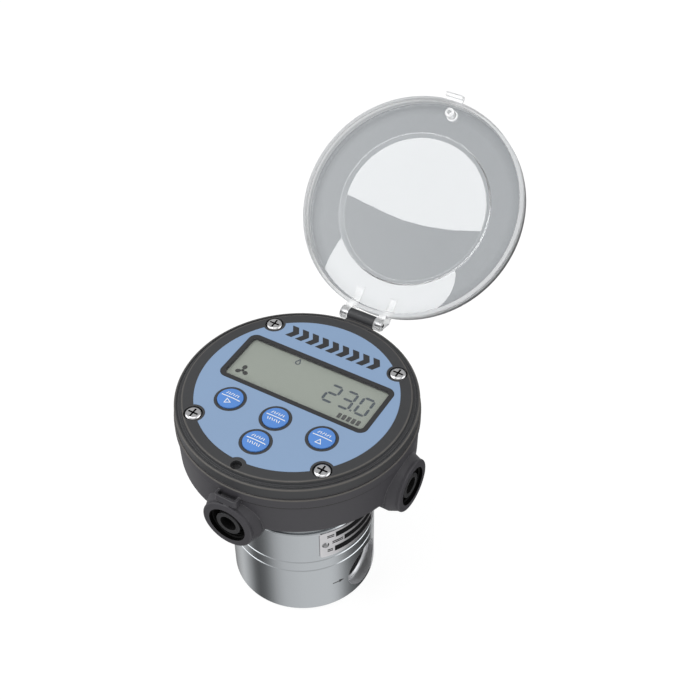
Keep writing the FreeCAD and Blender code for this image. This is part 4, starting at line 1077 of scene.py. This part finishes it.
def makeWorld(plan):
    world = bpy.data.worlds.new("studio")
    bpy.context.scene.world = world
    world.use_nodes = True
    tree = world.node_tree
    tree.nodes.clear()
    place = addNode(tree, "ShaderNodeTexCoord")
    parts = addNode(tree, "ShaderNodeSeparateXYZ")
    joinSockets(tree, place, "Generated", parts, "Vector")
    turn = mathNode(tree, "ARCTAN2", parts.outputs["Y"], parts.outputs["X"])
    share = addNode(tree, "ShaderNodeMapRange", {"From Min": -math.pi, "From Max": math.pi})
    tree.links.new(turn, share.inputs["Value"])
    sides = addNode(tree, "ShaderNodeValToRGB")
    stops = sides.color_ramp.elements
    while len(stops) < len(plan["sides"]):
        stops.new(0.5)
    for stop, (angle, level) in zip(stops, plan["sides"]):
        stop.position = (angle + 180) / 360
        stop.color = (level, level, level, 1)
    joinSockets(tree, share, "Result", sides, "Fac")
    height = rising(tree, parts.outputs["Z"], *plan["sidesFade"])
    lit = mixedColour(tree, height, sides.outputs["Color"], (plan["upperGlow"],) * 3)
    for way, innerAngle, outerAngle, strength in plan["lamps"]:
        aim = addNode(tree, "ShaderNodeVectorMath", operation="DOT_PRODUCT")
        joinSockets(tree, place, "Generated", aim, 0)
        aim.inputs[1].default_value = Vector(way).normalized()
        disc = addNode(tree, "ShaderNodeMapRange", {
            "From Min": math.cos(math.radians(outerAngle)), "From Max": math.cos(math.radians(innerAngle)),
            "To Max": strength,
        })
        joinSockets(tree, aim, "Value", disc, "Value")
        bright = addNode(tree, "ShaderNodeMix", data_type="RGBA", blend_type="ADD")
        bright.inputs["Factor"].default_value = 1.0
        tree.links.new(lit, bright.inputs[6])
        joinSockets(tree, disc, "Result", bright, 7)
        lit = bright.outputs[2]
    path = addNode(tree, "ShaderNodeLightPath")
    seen = mixedColour(tree, path.outputs["Is Glossy Ray"], (plan["level"],) * 3, lit)
    white = mixedColour(tree, eitherRay(tree, "Is Camera Ray", "Is Transmission Ray"), seen, (1.0, 1.0, 1.0))
    shine = addNode(tree, "ShaderNodeBackground")
    tree.links.new(white, shine.inputs["Color"])
    output = addNode(tree, "ShaderNodeOutputWorld")
    joinSockets(tree, shine, "Background", output, "Surface")


# Two light cards that the open lid mirrors: a half moon on its disc and a crescent below it. The shapes are
# drawn on the lid in mm, across it and along it from its middle, and thrown on to a plane by mirror rays.
cardPlan = {
    "away": 0.45, "strength": 11.0,
    "moonRadius": 37.0, "moonSteps": 90,
    "moonLow": [(-36.5, -4.0), (-24.5, -5.4), (-13.9, -6.4), (-3.5, -7.1), (6.3, -6.6), (15.5, -5.2),
                (24.5, -3.3), (36.9, 0.6)],
    "crescentInner": 38.6, "crescentOuter": 54.0, "crescentTurn": (-175, -5), "crescentSteps": 180,
    "crescentLeft": ((1.5, -41.0), (32.7, 45.0)), "crescentRight": ((1.5, -31.0), (33.4, 25.0)),
}


def mirroredWay(point, normal):
    # The way in which the camera sees the studio in a flat mirror at the point
    way = (point - cameraItem.matrix_world.translation).normalized()
    return way - 2 * way.dot(normal) * normal


def crescentShape(plan):
    # The part of the flat ring round the disc that lies inside an ellipse, one for each side of the lid: the
    # points along its inner edge, then those back along its outer edge
    inner = []
    outer = []
    for way in (Vector(point) for point in arcPoints(0, 0, 1, *plan["crescentTurn"], plan["crescentSteps"])):
        middle, reach = (Vector(pair) for pair in plan["crescentLeft" if way.x < 0 else "crescentRight"])
        a = (way.x / reach.x) ** 2 + (way.y / reach.y) ** 2
        b = way.x * middle.x / reach.x ** 2 + way.y * middle.y / reach.y ** 2
        c = (middle.x / reach.x) ** 2 + (middle.y / reach.y) ** 2 - 1
        if b * b < a * c:
            continue
        root = math.sqrt(b * b - a * c)
        low = max(plan["crescentInner"], (b - root) / a)
        high = min(plan["crescentOuter"], (b + root) / a)
        if low < high:
            inner.append(tuple(way * low))
            outer.append(tuple(way * high))
    return inner + outer[::-1]


def makeLidCard(name, shape, depth, plan):
    centre, inward = lidPoint(0, 0, depth)
    facing = mirroredWay(centre, inward)
    anchor = centre + facing * plan["away"]
    corners = []
    for across, along in shape:
        point, inward = lidPoint(across, along, depth)
        way = mirroredWay(point, inward)
        corners.append(point + way * ((anchor - point).dot(facing) / way.dot(facing)))
    mesh = bpy.data.meshes.new(name)
    build = bmesh.new()
    verts = [build.verts.new(corner) for corner in corners]
    edges = [build.edges.new((verts[index - 1], vert)) for index, vert in enumerate(verts)]
    bmesh.ops.triangle_fill(build, edges=edges, use_beauty=True)
    build.to_mesh(mesh)
    build.free()
    item = bpy.data.objects.new(name, mesh)
    bpy.context.scene.collection.objects.link(item)
    mesh.materials.append(newMaterial(name, **{
        "Base Color": (0, 0, 0, 1), "Emission Color": (1, 1, 1, 1), "Emission Strength": plan["strength"],
    })[0])
    item.visible_camera = False
    item.visible_diffuse = False
    item.visible_transmission = False
    item.visible_shadow = False


def makeLidCards(plan):
    moon = plan["moonLow"]
    start = math.degrees(math.atan2(moon[-1][1], moon[-1][0]))
    end = math.degrees(math.atan2(moon[0][1], moon[0][0])) % 360
    moon = moon + arcPoints(0, 0, plan["moonRadius"], start + 1, end - 1, plan["moonSteps"])
    makeLidCard("moonCard", moon, lidPlan["discDepth"], plan)
    makeLidCard("crescentCard", crescentShape(plan), lidPlan["panelDepth"], plan)


def makeSoftbox(plan):
    data = bpy.data.lights.new("softbox", "AREA")
    data.size = plan["size"]
    data.energy = plan["power"]
    item = bpy.data.objects.new("softbox", data)
    bpy.context.scene.collection.objects.link(item)
    item.location = plan["place"]
    item.rotation_euler = (Vector(plan["aim"]) - item.location).to_track_quat("-Z", "Y").to_euler()
    item.visible_glossy = False


def makeFloor(plan):
    # Pale, and close to white where the camera sees it, with the object's shadow
    mesh = bpy.data.meshes.new("floor")
    reach = plan["reach"]
    corners = [(-reach, -reach, 0), (reach, -reach, 0), (reach, reach, 0), (-reach, reach, 0)]
    mesh.from_pydata(corners, [], [(0, 1, 2, 3)])
    item = bpy.data.objects.new("floor", mesh)
    bpy.context.scene.collection.objects.link(item)
    material, tree, surface = newMaterial("paleFloor", **{
        "Base Color": (*(plan["tone"],) * 3, 1), "Roughness": 0.9,
    })
    glow = addNode(tree, "ShaderNodeEmission", {"Strength": plan["glow"]})
    direct = eitherRay(tree, "Is Camera Ray", "Is Transmission Ray")
    share = mathNode(tree, "MULTIPLY", direct, plan["glowShare"])
    blendShaders(tree, share, surface.outputs["BSDF"], glow.outputs["Emission"])
    mesh.materials.append(material)
    item.visible_glossy = False


makeWorld(lightPlan)
makeSoftbox(lightPlan["softbox"])
makeLidCards(cardPlan)
makeFloor(lightPlan["floor"])
bpy.context.scene.view_settings.view_transform = "Standard"
print("studio lit")
